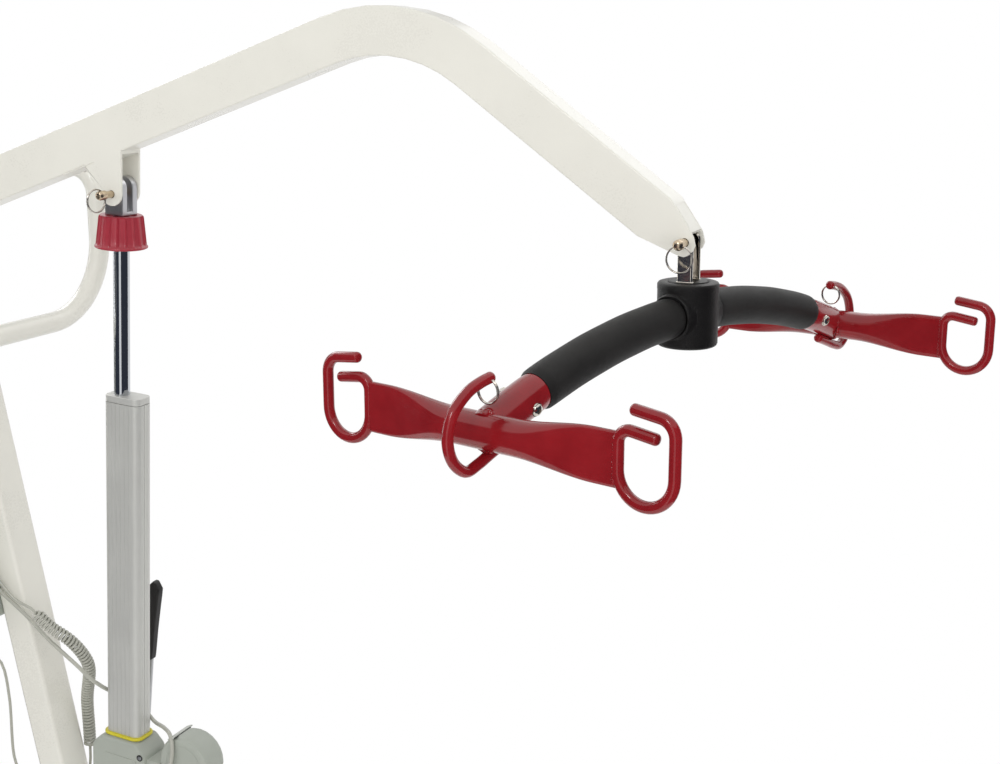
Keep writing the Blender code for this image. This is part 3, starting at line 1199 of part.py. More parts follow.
def make_caster_fork(name, place, wheel, seat, plate_top, brake=False):
    """Fork that swivels on its stem: two cheeks, bridge, collar, stem with cap and the wheel's axle."""
    inner = WHEEL_WIDE / 2 + 0.0015
    outer = inner + FORK_PLATE
    bridge_top = wheel * 2 + CASTER_BRIDGE_LIFT
    bridge_low = bridge_top - CASTER_BRIDGE_THICK
    crown = CASTER_CROWN
    cheek = [(crown, bridge_top), (-crown, bridge_top)]
    if brake:
        spot = brake_spot(wheel)
        cheek.append((-crown, bridge_low))
        cheek += arc(spot, CASTER_EAR_RADIUS, math.radians(80), math.radians(200), 4)
    cheek += arc((-CASTER_TRAIL, wheel), CASTER_EAR_RADIUS * 1.4, math.radians(185), math.radians(340), 5)
    fork = prism(name, cheek, 'XZ', -outer, -inner, CASTER_GREY, place)
    other = prism(name + "_cheek", cheek, 'XZ', inner, outer, None, place)
    bridge = box(name + "_bridge", (-crown, -outer, bridge_low), (crown, outer, bridge_top), None, place)
    collar = cylinder(name + "_collar", CASTER_STEM_RADIUS * 1.6, bridge_top - 0.001, seat - RUN_GAP, 'Z',
                      None, place, segments=8)
    stem = cylinder(name + "_stem", CASTER_STEM_RADIUS, bridge_top - 0.001, plate_top + 0.002, 'Z', None,
                    place, segments=10)
    cap = cylinder(name + "_cap", CASTER_STEM_RADIUS * 1.6, plate_top + RUN_GAP, plate_top + 0.005, 'Z', None,
                   place, segments=8)
    axle = cylinder(name + "_axle", CASTER_AXLE_RADIUS, -outer - 0.002, outer + 0.002, 'Y', None, place,
                    segments=10, centre=(-CASTER_TRAIL, wheel))
    weld(fork, other, bridge, collar, stem, cap, axle)
    if brake:
        cut(fork, cylinder(name + "_pedal_hole", CASTER_AXLE_RADIUS / 2 + HOLE_GAP, -outer * 2, outer * 2,
                           'Y', None, place, segments=8, centre=brake_spot(wheel)))
    return fork


def brake_spot(wheel):
    """Pedal hinge over the wheel's rear shoulder, in the caster's own frame."""
    reach = wheel + CASTER_EAR_RADIUS - 0.001
    return (-CASTER_TRAIL - reach * math.sin(math.radians(45)), wheel + reach * math.cos(math.radians(45)))


def make_wheel(name, place, radius):
    """Wheel with a rounded tread, recessed web and bored hub."""
    half = WHEEL_WIDE / 2
    bore = CASTER_AXLE_RADIUS + RUN_GAP
    tread = 0.005
    profile = [(radius, half - tread), (radius - tread, half), (radius * 0.64, half),
               (radius * 0.58, half * 0.5), (radius * 0.30, half * 0.5), (bore, half)]
    profile += [(r, -h) for r, h in reversed(profile)]
    return link(name, moved(lathe_mesh(profile, 20), axis='Y'), CASTER_GREY, place)


def make_brake_pedal(name, place, wheel):
    """Foot pedal hinged between the fork's ears."""
    spot = brake_spot(wheel)
    half = WHEEL_WIDE / 2 + 0.0015 - RUN_GAP
    hub = cylinder(name, CASTER_EAR_RADIUS - 0.003, -half, half, 'Y', MOULDED_BLACK, place)
    tread = box(name + "_tread", (-0.040, -0.018, -0.0015), (-CASTER_EAR_RADIUS - 0.002, 0.018, 0.0025), None,
                place)
    arm = box(name + "_arm", (-0.020, -half + 0.002, -0.0015), (0, half - 0.002, 0.0025), None, place)
    pin = cylinder(name + "_pin", CASTER_AXLE_RADIUS / 2, -half - FORK_PLATE - 0.001,
                   half + FORK_PLATE + 0.001, 'Y', None, place, segments=8)
    return weld(hub, arm, tread, pin)


def caster_spots():
    """Swivel position, wheel radius, seat height and plate top of each caster."""
    front_x = LEG_REACH - CASTER_INSET
    middle = BASE_UNDERSIDE + LEG_TALL * 0.65
    spots = {}
    for word, side in (("left", 1), ("right", -1)):
        front = BASE + Vector((front_x, side * (LEG_PIVOT_HALF + LEG_OUT), 0))
        rear = BASE + Vector((-REAR_CASTER_BACK, side * REAR_ARM_HALF, 0))
        spots["front_" + word] = (front, FRONT_WHEEL_RADIUS, BASE_UNDERSIDE, BASE_TOP)
        spots["rear_" + word] = (rear, REAR_WHEEL_RADIUS, middle - BASE_PLATE / 2, middle + BASE_PLATE / 2)
    return spots


# Leg spreading lever

LEVER_SPOT = BASE + Vector((-LEVER_BACK, LEVER_SIDE, LEVER_PIVOT_HEIGHT))
LEVER_TURN = (0, LEVER_LEAN, 0)


def make_lever():
    """Lever rod with its hub and axle."""
    half = LEVER_HUB_HALF - RUN_GAP
    rod = cylinder("leg_lever", LEVER_ROD_RADIUS, 0, LEVER_GRIP_TOP - 0.012, 'Z', STEEL, LEVER_SPOT,
                   LEVER_TURN)
    hub = cylinder("lever_hub", LEVER_CHEEK_RADIUS - 0.002, -half, half, 'Y', None, LEVER_SPOT, LEVER_TURN)
    reach = LEVER_HUB_HALF + LEVER_CHEEK + 0.003
    axle = cylinder("lever_axle", LEVER_AXLE_RADIUS, -reach, reach, 'Y', None, LEVER_SPOT, LEVER_TURN)
    return weld(rod, hub, axle)


def make_lever_grip():
    """Grip that widens towards its rounded top."""
    low = LEVER_GRIP_TOP - LEVER_GRIP_LONG
    stations = [(0.0, 0.0062, 0.0062), (0.004, 0.0066, 0.0066), (0.35, 0.0080, 0.0070),
                (0.70, 0.0105, 0.0075), (0.90, 0.0112, 0.0076), (0.96, 0.0098, 0.0068), (1.0, 0.0060, 0.0042)]
    bm = bmesh.new()
    rings = []
    for share, half_long, half_wide in stations:
        height = low + LEVER_GRIP_LONG * share
        rings.append([bm.verts.new((half_long * math.cos(a), half_wide * math.sin(a), height))
                      for a in (2 * math.pi * k / 14 for k in range(14))])
    bm.faces.new(rings[0])
    bm.faces.new(rings[-1])
    for one, two in zip(rings, rings[1:]):
        for k in range(14):
            bm.faces.new((one[k], one[(k + 1) % 14], two[(k + 1) % 14], two[k]))
    grip = link("leg_lever_grip", bm, MOULDED_BLACK, LEVER_SPOT, LEVER_TURN)
    way = cylinder("lever_grip_way", LEVER_ROD_RADIUS + SEAT_GAP, 0, LEVER_GRIP_TOP - 0.012 + SEAT_GAP, 'Z',
                   None, LEVER_SPOT, LEVER_TURN)
    return cut(grip, way)


# Control box and battery, in the mast's frame but measured from the boom pivot

BOX_FRONT = -MAST_LONG / 2 - SEAT_GAP
BOX_LOW = -BOX_DROP - BOX_TALL / 2
BATTERY_LOW = -BOX_DROP + BOX_TALL / 2 - BATTERY_TALL
BOX_BACK_PLATE = 0.030


def make_control_box():
    """Back plate on the mast with a deeper lower part that the battery stands on, and two cord outlets."""
    half = BOX_WIDE / 2
    rear = BOX_FRONT - BOX_BACK_PLATE - BATTERY_DEEP - 0.012
    outline = [(BOX_FRONT, BOX_LOW), (BOX_FRONT, BOX_LOW + BOX_TALL),
               (BOX_FRONT - BOX_BACK_PLATE, BOX_LOW + BOX_TALL),
               (BOX_FRONT - BOX_BACK_PLATE, BATTERY_LOW - RUN_GAP), (rear, BATTERY_LOW - RUN_GAP),
               (rear + 0.012, BOX_LOW)]
    item = prism("control_box", outline, 'XZ', -half, half, HOUSING_GREY, BOOM_PIVOT, MAST_TURN)
    soften(item, 0.004, 1)
    outlets = [cylinder(f"outlet_{drop:.3f}", OUTLET_RADIUS, BOX_FRONT - 0.003, BOX_FRONT + OUTLET_LONG, 'X',
                        None, BOOM_PIVOT, MAST_TURN, centre=(side, -drop))
               for side, drop in (HANDSET_OUTLET, ACTUATOR_OUTLET)]
    pocket = cylinder("stop_pocket", STOP_STEM_RADIUS + RUN_GAP, rear - 0.02, rear + 0.03, 'X', None,
                      BOOM_PIVOT, MAST_TURN, centre=(STOP_SIDE, BOX_LOW + STOP_UP))
    return cut(weld(item, *outlets), pocket)


def make_battery():
    """Battery that lifts off its rails upward, with a hand slot near its top."""
    half = BOX_WIDE / 2 - 0.006
    front = BOX_FRONT - BOX_BACK_PLATE - RUN_GAP
    item = box("battery", (front - BATTERY_DEEP, -half, BATTERY_LOW),
               (front, half, BATTERY_LOW + BATTERY_TALL), HOUSING_GREY, BOOM_PIVOT, MAST_TURN)
    soften(item, 0.006, 2)
    top = BATTERY_LOW + BATTERY_TALL
    slot = box("battery_slot", (front - BATTERY_DEEP * 2, -half * 0.6, top - 0.045),
               (front - BATTERY_DEEP + 0.022, half * 0.6, top - 0.018), None, BOOM_PIVOT, MAST_TURN)
    return cut(item, slot)


def make_stop_button():
    """Mushroom button on the box's sloping rear face, pushed in along its stem."""
    rear = BOX_FRONT - BOX_BACK_PLATE - BATTERY_DEEP - 0.012
    face = rear - STOP_TRAVEL - 0.003
    profile = [(0, face - 0.012), (STOP_RADIUS * 0.7, face - 0.011), (STOP_RADIUS, face - 0.006),
               (STOP_RADIUS, face), (STOP_STEM_RADIUS, face), (STOP_STEM_RADIUS, rear + 0.016),
               (0, rear + 0.016)]
    mesh = moved(axis_lathe_mesh(profile, 18), (0, STOP_SIDE, BOX_LOW + STOP_UP), 'X')
    return link("emergency_stop", mesh, STOP_RED, BOOM_PIVOT, MAST_TURN)


# Handset, hooked over the push handle's cross tube

HANDSET_PLACE = HANDLE_SPOT + Vector((0, -HANDSET_SIDE, 0))
HANDSET_HOOK_RADIUS = HANDLE_TUBE_RADIUS + RUN_GAP
HANDSET_FRONT = -HANDSET_HOOK_RADIUS
HANDSET_REAR = HANDSET_FRONT - HANDSET_DEEP
HANDSET_TOP = 0.010
HANDSET_LOW = HANDSET_TOP - HANDSET_LONG


def make_handset():
    """Rounded body whose hook goes over the tube."""
    half = HANDSET_WIDE / 2
    outline = rounded_rectangle(HANDSET_LONG, HANDSET_WIDE, 0.012, 3)
    outline = [(y, x + (HANDSET_TOP + HANDSET_LOW) / 2) for x, y in outline]
    item = prism("handset", outline, 'YZ', HANDSET_REAR, HANDSET_FRONT, PLATE_GREY, HANDSET_PLACE)
    soften(item, 0.003, 1)
    outer = HANDSET_HOOK_RADIUS + 0.004
    hook = arc((0, 0), outer, math.pi, 0, 10) + [(outer, -0.014), (HANDSET_HOOK_RADIUS, -0.014)]
    hook += arc((0, 0), HANDSET_HOOK_RADIUS, 0, math.pi, 10) + [(-HANDSET_HOOK_RADIUS, -0.005),
                                                                (-outer, -0.005)]
    hook = prism("handset_hook", hook, 'XZ', -half * 0.5, half * 0.5, None, HANDSET_PLACE)
    pockets = [box(f"button_pocket_{k}", (HANDSET_REAR - 0.01, -BUTTON_SIZE / 2 - RUN_GAP,
                                          z - BUTTON_SIZE / 2 - RUN_GAP),
                   (HANDSET_REAR + BUTTON_SINK, BUTTON_SIZE / 2 + RUN_GAP, z + BUTTON_SIZE / 2 + RUN_GAP),
                   None, HANDSET_PLACE) for k, z in enumerate(BUTTON_HEIGHTS)]
    return cut(weld(item, hook), *pockets)


def make_button(name, height):
    """Square push button in its pocket, proud by its travel and a little more."""
    half = BUTTON_SIZE / 2
    bottom = HANDSET_REAR + BUTTON_SINK - BUTTON_TRAVEL - RUN_GAP
    item = box(name, (HANDSET_REAR - BUTTON_TRAVEL - 0.001, -half, -half), (bottom, half, half), HOUSING_GREY,
               HANDSET_PLACE + Vector((0, 0, height)))
    return soften(item, 0.001, 2)


def make_plug():
    """Tapered sleeve where the cord goes into the handset."""
    low = HANDSET_LOW - SEAT_GAP - PLUG_LONG
    profile = [(0, low), (HANDSET_LEAD_RADIUS + 0.0012, low), (HANDSET_LEAD_RADIUS * 2,
                                                               low + PLUG_LONG * 0.8),
               (HANDSET_LEAD_RADIUS * 2, low + PLUG_LONG), (0, low + PLUG_LONG)]
    middle = (HANDSET_FRONT + HANDSET_REAR) / 2
    return link("handset_plug", moved(axis_lathe_mesh(profile, 20), (middle, 0, 0)), CORD_GREY, HANDSET_PLACE)


# Cords; route points are measured from the hub's centre

LEAD_MEET = (-0.893, -0.0205, -0.6515)
COIL_ROUTE = ((-0.983, -0.051, -0.5177), (-0.9645, -0.038, -0.545), (-0.9442, -0.022, -0.5686),
              (-0.9352, -0.004, -0.5985), (-0.9378, 0.010, -0.6294), (-0.9614, 0.028, -0.6883),
              (-0.9705, 0.038, -0.7457), (-0.9748, 0.042, -0.783))


def tube(name, points, radius, look, resolution):
    """Curve object that sweeps a round section along the points, with closed ends."""
    curve = bpy.data.curves.new(name, 'CURVE')
    curve.dimensions = '3D'
    curve.bevel_depth = radius
    curve.bevel_resolution = resolution
    curve.use_fill_caps = True
    spline = curve.splines.new('POLY')
    spline.points.add(len(points) - 1)
    for spot, point in zip(spline.points, points):
        spot.co = (*point, 1.0)
    item = bpy.data.objects.new(name, curve)
    bpy.context.collection.objects.link(item)
    return paint(item, *look)


def held_route(start, out, middle, end, into, straight, count):
    """Smooth route whose two ends run straight, out of the start and into the end."""
    first, last = start + out * straight, end - into * straight
    inner = smooth_route([first] + [HUB + Vector(p) for p in middle] + [last], count - 2, start, end)
    return [start] + inner + [end]


def outlet_start(outlet):
    """Where a cord begins, just off the face of its outlet, and the direction it leaves in."""
    side, drop = outlet
    face = BOOM_PIVOT - MAST_UP * drop + MAST_FRONT * (BOX_FRONT + OUTLET_LONG + SEAT_GAP)
    return face + Vector((0, side, 0)), MAST_FRONT


def coil_ends():
    """Centre points and directions of the coil's two ends."""
    route = smooth_route([HUB + Vector(p) for p in COIL_ROUTE], 120)
    return route[0], (route[1] - route[0]).normalized(), route[-1], (route[-1] - route[-2]).normalized()


def coil_points():
    """One unbroken helix about the coil's route, straight and centred at both ends."""
    route = smooth_route([HUB + Vector(p) for p in COIL_ROUTE], 240)
    lengths = [0.0]
    for a, b in zip(route, route[1:]):
        lengths.append(lengths[-1] + (b - a).length)
    straight = CURL_WIRE_RADIUS * 2.5
    count = CURL_COUNT * CURL_POINTS
    side = (route[1] - route[0]).orthogonal().normalized()
    points = [route[0]]
    for k in range(count + 1):
        share = k / count
        run = straight + (lengths[-1] - straight * 2) * share
        spot = int(np.searchsorted(lengths, run)) - 1
        spot = min(max(spot, 0), len(route) - 2)
        ahead = (route[spot + 1] - route[spot]).normalized()
        centre = route[spot] + ahead * (run - lengths[spot])
        side = (side - ahead * side.dot(ahead)).normalized()
        turns = share * CURL_COUNT
        grow = min(1.0, turns / 0.8, (CURL_COUNT - turns) / 0.8)
        angle = 2 * math.pi * turns
        reach = CURL_RADIUS * grow
        offset = side * math.cos(angle) + ahead.cross(side) * math.sin(angle)
        points.append(centre + offset * reach)
    points.append(route[-1])
    return points


def least_gap(points, radius):
    """Smallest distance between two turns' surfaces, over points at least half a turn apart."""
    spots = np.array([tuple(p) for p in points])
    apart = CURL_POINTS // 2 + 1
    gaps = []
    for k in range(len(spots) - apart):
        gaps.append(float(np.min(np.linalg.norm(spots[k + apart:] - spots[k], axis=1))))
    return min(gaps) - radius * 2


def make_coil():
    points = coil_points()
    print("least gap between the coil's turns, mm:", round(least_gap(points, CURL_WIRE_RADIUS) * 1000, 2))
    return tube("handset_coil", points, CURL_WIRE_RADIUS, CORD_GREY, 1)


def make_handset_lead():
    """Straight stretch from the box to the coil."""
    start, out = outlet_start(HANDSET_OUTLET)
    meet, along, _, _ = coil_ends()
    middle = ((-1.052, -0.042, -0.487), (-1.025, -0.044, -0.5075))
    route = held_route(start, out, middle, meet - along * SEAT_GAP, along, HANDSET_LEAD_RADIUS * 2, 16)
    return tube("handset_lead", route, HANDSET_LEAD_RADIUS, CORD_GREY, 2)


def make_handset_tail():
    """From the coil down the mast's left side, behind it, past the box and up to the handset."""
    _, _, meet, along = coil_ends()
    middle = ((-0.985, 0.048, -0.822), (-1.012, 0.050, -0.850), (-1.052, 0.036, -0.860),
              (-1.083, 0.012, -0.840), (-1.094, 0.0, -0.804), (-1.089, -0.005, -0.699),
              (-1.097, -0.010, -0.6355), (-1.110, -0.045, -0.604), (-1.122, -0.090, -0.562),
              (-1.133, -0.106, -0.480), (-1.146, -0.116, -0.400), (-1.151, -0.135, -0.330))
    plug = HANDSET_PLACE + Vector(((HANDSET_FRONT + HANDSET_REAR) / 2, 0,
                                   HANDSET_LOW - PLUG_LONG - SEAT_GAP * 2))
    route = held_route(meet + along * SEAT_GAP, along, middle, plug, Vector((0, 0, 1)),
                       HANDSET_LEAD_RADIUS * 2, 52)
    return tube("handset_tail", route, HANDSET_LEAD_RADIUS, CORD_GREY, 2)


def make_actuator_lead():
    """Stretch of the motor's lead from the box past the mast, up to the stretch on the motor's side."""
    start, out = outlet_start(ACTUATOR_OUTLET)
    middle = ((-1.048, -0.0355, -0.512), (-1.008, -0.036, -0.538), (-0.975, -0.036, -0.565),
              (-0.9396, -0.036, -0.5881), (-0.9125, -0.038, -0.609), (-0.897, -0.0375, -0.630),
              (-0.893, -0.0325, -0.6455))
    meet = HUB + Vector(LEAD_MEET)
    route = held_route(start, out, middle, meet, Vector((0, 1, 0)), LEAD_RADIUS * 2, 24)
    return tube("actuator_lead", route, LEAD_RADIUS, CORD_GREY, 2)


def make_motor_lead():
    """Stretch of the lead that moves with the motor, from behind the profile to the socket."""
    middle = ((-0.892, 0.012, -0.6545), (-0.886, 0.0245, -0.662), (-0.870, 0.029, -0.674),
              (-0.850, 0.0285, -0.688), (-0.826, 0.019, -0.697), (-0.794, 0.000, -0.692),
              (-0.7676, -0.020, -0.6905), (-0.7588, -0.0292, -0.7118))
    meet = HUB + Vector(LEAD_MEET) + Vector((0, SEAT_GAP, 0))
    socket = ACTUATOR_PIN + Matrix.Rotation(ACTUATOR_LEAN, 3, 'Y') @ Vector((*SOCKET_SPOT,
                                                                             SOCKET_TOP + SEAT_GAP))
    route = held_route(meet, Vector((0, 1, 0)), middle, socket, ACTUATOR_DOWN, LEAD_RADIUS * 4, 26)
    return tube("motor_lead", route, LEAD_RADIUS, CORD_GREY, 2)


def main():
    """Make every piece and hang the moving ones on empties at their joints."""
    remove_scene_objects()
    boom = make_boom()
    make_pivot_bolt()
    pin_half = BOOM_WIDTH / 2 + SEAT_GAP
    pins = [make_release_pin("actuator_pin", ACTUATOR_PIN, pin_half),
            make_release_pin("boom_pin", BOOM_PIN, pin_half)]
    rings = [hanging_ring("actuator_pin_ring", ACTUATOR_PIN + PIN_RING_SHIFT),
             hanging_ring("boom_pin_ring", BOOM_PIN + PIN_RING_SHIFT)]
    hanger = make_hanger()
    spreader = [make_hub(), make_centre_bar(), make_sleeve("sleeve_near", -1), make_sleeve("sleeve_far", 1),
                make_crossbar("crossbar_near", -1), make_crossbar("crossbar_far", 1),
                make_spreader_bolt("spreader_bolt_near", -1), make_spreader_bolt("spreader_bolt_far", 1)]
    hook_rings = [hanging_ring("hook_ring_near", ring_spot(-1), SPREADER_TURN),
                  hanging_ring("hook_ring_far", ring_spot(1), SPREADER_TURN)]
    rod = [make_rod_fork(), make_piston_rod(), make_release_collar()]
    cylinder_group = [make_actuator_tube(), make_tube_cap(), make_seal_ring(), make_gearbox(), make_motor(),
                      make_motor_lead()]
    make_mast()
    make_lower_bolt("lower_bolt_left", False)
    make_lower_bolt("lower_bolt_right", True)
    make_push_handle()
    make_base_frame()
    for word, side in (("left", 1), ("right", -1)):
        make_handle_grip("handle_grip_" + word, side)
        make_leg("leg_" + word, side)
        make_leg_bolt("leg_bolt_" + word, side)
    for word, (place, wheel, seat, plate_top) in caster_spots().items():
        rear = word.startswith("rear")
        swivel = joint_empty("swivel_" + word, place)
        group = [make_caster_fork("caster_fork_" + word, place, wheel, seat, plate_top, rear),
                 make_wheel("wheel_" + word, place + Vector((-CASTER_TRAIL, 0, wheel)), wheel)]
        if rear:
            x, z = brake_spot(wheel)
            group.append(make_brake_pedal("brake_pedal_" + word.split("_")[1], place + Vector((x, 0, z)),
                                          wheel))
        carry(swivel, *group)
    carry(joint_empty("lever_joint", LEVER_SPOT), make_lever(), make_lever_grip())
    make_control_box()
    make_battery()
    make_stop_button()
    make_handset()
    for name, height in zip(("handset_up_button", "handset_down_button"), BUTTON_HEIGHTS):
        make_button(name, height)
    make_plug()
    make_handset_lead()
    make_coil()
    make_handset_tail()
    make_actuator_lead()
    boom_joint = joint_empty("boom_joint", BOOM_PIVOT)
    hanger_joint = joint_empty("hanger_joint", BOOM_PIN)
    spreader_joint = joint_empty("spreader_joint", HUB)
    actuator_joint = joint_empty("actuator_joint", ACTUATOR_PIN)
    carry(spreader_joint, *spreader, *hook_rings)
    carry(hanger_joint, hanger, spreader_joint)
    carry(actuator_joint, *rod, *cylinder_group)
    carry(boom_joint, boom, *pins, *rings, hanger_joint, actuator_joint)


main()
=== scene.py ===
"""Electric patient lift: finished pieces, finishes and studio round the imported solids."""

import json
import logging
import math
from dataclasses import dataclass
from enum import Enum
from typing import Callable, List, Optional, Sequence, Tuple

import bmesh
import bpy
import numpy as np
from mathutils import Matrix, Vector

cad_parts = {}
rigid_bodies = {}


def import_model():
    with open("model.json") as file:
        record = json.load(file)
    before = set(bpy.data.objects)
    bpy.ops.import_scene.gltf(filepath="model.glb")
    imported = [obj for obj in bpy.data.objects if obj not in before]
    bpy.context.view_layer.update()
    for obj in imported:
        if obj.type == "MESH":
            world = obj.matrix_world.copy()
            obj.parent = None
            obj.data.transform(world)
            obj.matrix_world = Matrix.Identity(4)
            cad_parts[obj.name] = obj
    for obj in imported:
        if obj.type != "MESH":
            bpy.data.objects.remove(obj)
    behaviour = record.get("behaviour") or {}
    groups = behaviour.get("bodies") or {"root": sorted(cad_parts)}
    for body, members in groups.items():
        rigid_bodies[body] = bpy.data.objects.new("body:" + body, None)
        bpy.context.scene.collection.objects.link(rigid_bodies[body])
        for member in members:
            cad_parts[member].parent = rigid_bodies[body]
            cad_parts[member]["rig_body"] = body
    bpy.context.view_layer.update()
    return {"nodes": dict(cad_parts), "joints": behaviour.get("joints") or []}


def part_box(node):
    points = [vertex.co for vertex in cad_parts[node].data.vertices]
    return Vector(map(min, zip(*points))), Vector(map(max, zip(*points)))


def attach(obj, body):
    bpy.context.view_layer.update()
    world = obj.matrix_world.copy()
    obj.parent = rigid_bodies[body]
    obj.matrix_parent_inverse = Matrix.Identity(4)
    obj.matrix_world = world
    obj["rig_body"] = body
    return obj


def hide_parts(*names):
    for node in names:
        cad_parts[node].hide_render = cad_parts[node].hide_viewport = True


logging.basicConfig(level=logging.INFO, format="%(name)s: %(message)s")
LOG = logging.getLogger("patient_lift")

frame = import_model()
JOINTS = {joint["name"]: joint for joint in frame["joints"]}

Spot = Tuple[float, float]
Point = Tuple[float, float, float]
Colour = Tuple[float, float, float]
Piece = bpy.types.Object
Socket = bpy.types.NodeSocket


def joint_spot(name: str) -> Vector:
    """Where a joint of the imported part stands."""
    return Vector(JOINTS[name]["pos_m"])


def placed(origin: Vector, lean: float = 0.0, turn: float = 0.0) -> Matrix:
    """Matrix of a sub-assembly's own frame.

    Args:
        origin: its origin in the row frame.
        lean: turn about Y, in radians.
        turn: turn about Z, in radians.

    Returns:
        The matrix from the sub-assembly's frame to the row frame.
    """
    return Matrix.Translation(origin) @ Matrix.Rotation(turn, 4, 'Z') @ Matrix.Rotation(lean, 4, 'Y')


HUB = joint_spot("spreader_swivel")
BOOM_PIVOT = joint_spot("boom_hinge")
ROD_PIN = joint_spot("piston_pivot")
BOOM_PIN = joint_spot("hanger_swing")
LEVER_PIVOT = joint_spot("lever_tilt")
BAR_TURN = -0.264
ROD_LEAN = math.radians(3.86)
MAST_LEAN = math.radians(10.98)
SPREADER = placed(HUB, turn=BAR_TURN)
ACTUATOR = placed(ROD_PIN, lean=ROD_LEAN)
MAST = placed(BOOM_PIVOT, lean=-MAST_LEAN)
MAST_UP = MAST.to_3x3() @ Vector((0, 0, 1))
MAST_FRONT = MAST.to_3x3() @ Vector((1, 0, 0))
ROD_DOWN = ACTUATOR.to_3x3() @ Vector((0, 0, -1))
SIDES = ((-1, "near"), (1, "far"))


# Finishes

class Grain(Enum):
    """Surface pattern of a finish."""

    POWDER = "powder"
    SMOOTH = "smooth"
    MOULDED = "moulded"
    FOAM = "foam"
    DRAWN = "drawn"
    PLATED = "plated"


@dataclass(frozen=True)
class Finish:
    """One finish: its colour, gloss and grain, and how it has worn."""

    name: str
    slot: str
    colour: Colour
    roughness: float
    grain: Grain
    metallic: float = 0.0
    coat: float = 0.0
    coat_roughness: float = 0.08
    specular: float = 0.5
    mottle: float = 0.05
    mottle_scale: float = 14.0
    grain_scale: float = 500.0
    grain_depth: float = 0.00003
    rough_change: float = 0.06
    edge: float = 0.0
    edge_colour: Colour = (0.5, 0.5, 0.5)
    stretch: Point = (1.0, 1.0, 1.0)
    lean: float = 0.0

    def material(self) -> bpy.types.Material:
        """The finish's node material, made once.

        Returns:
            The material.
        """
        known = bpy.data.materials.get(self.name)
        if known and known.get("lift_finish"):
            return known
        made = bpy.data.materials.new(self.name)
        made["lift_finish"] = True
        FinishNodes(self, made).build()
        return made


class Tree:
    """Adds nodes and links to the tree of a material or a world."""

    def __init__(self, owner: bpy.types.ID) -> None:
        """Open the owner's tree."""
        owner.use_nodes = True
        self.tree = owner.node_tree

    def node(self, kind: str, **values: object) -> bpy.types.Node:
        """Add a node and set its properties and unlinked inputs.

        Args:
            kind: the node's type name.
            values: property names, or input names with spaces as underscores.

        Returns:
            The new node.
        """
        made = self.tree.nodes.new(kind)
        for key, value in values.items():
            socket = made.inputs.get(key.replace("_", " "))
            if socket is not None:
                socket.default_value = value
            else:
                setattr(made, key, value)
        return made

    def join(self, start: Socket, end: Socket) -> None:
        """Link two sockets."""
        self.tree.links.new(start, end)

    def maths(self, way: str, one: Socket, two: Socket, clamp: bool = False) -> Socket:
        """Work out one value from two.

        Args:
            way: the Math node's operation.
            one, two: the values.
            clamp: whether the result is kept between 0 and 1.

        Returns:
            The result.
        """
        made = self.node("ShaderNodeMath", operation=way, use_clamp=clamp)
        self.join(one, made.inputs[0])
        self.join(two, made.inputs[1])
        return made.outputs[0]

    def scaled(self, source: Socket, low: float, high: float, to_low: float, to_high: float) -> Socket:
        """Map a value's range onto another.

        Args:
            source: the value.
            low, high: the range it comes in.
            to_low, to_high: the range it leaves in.

        Returns:
            The mapped value.
        """
        made = self.node("ShaderNodeMapRange", From_Min=low, From_Max=high, To_Min=to_low, To_Max=to_high)
        self.join(source, made.inputs["Value"])
        return made.outputs["Result"]

    def looked_at(self) -> Socket:
        """Tell rays that show a surface from rays that only light it.

        Returns:
            1 for a ray from the camera, a reflection or a clear piece, and else 0.
        """
        rays = self.node("ShaderNodeLightPath").outputs
        direct = self.maths('ADD', rays["Is Camera Ray"], rays["Is Glossy Ray"])
        return self.maths('ADD', direct, rays["Is Transmission Ray"], True)


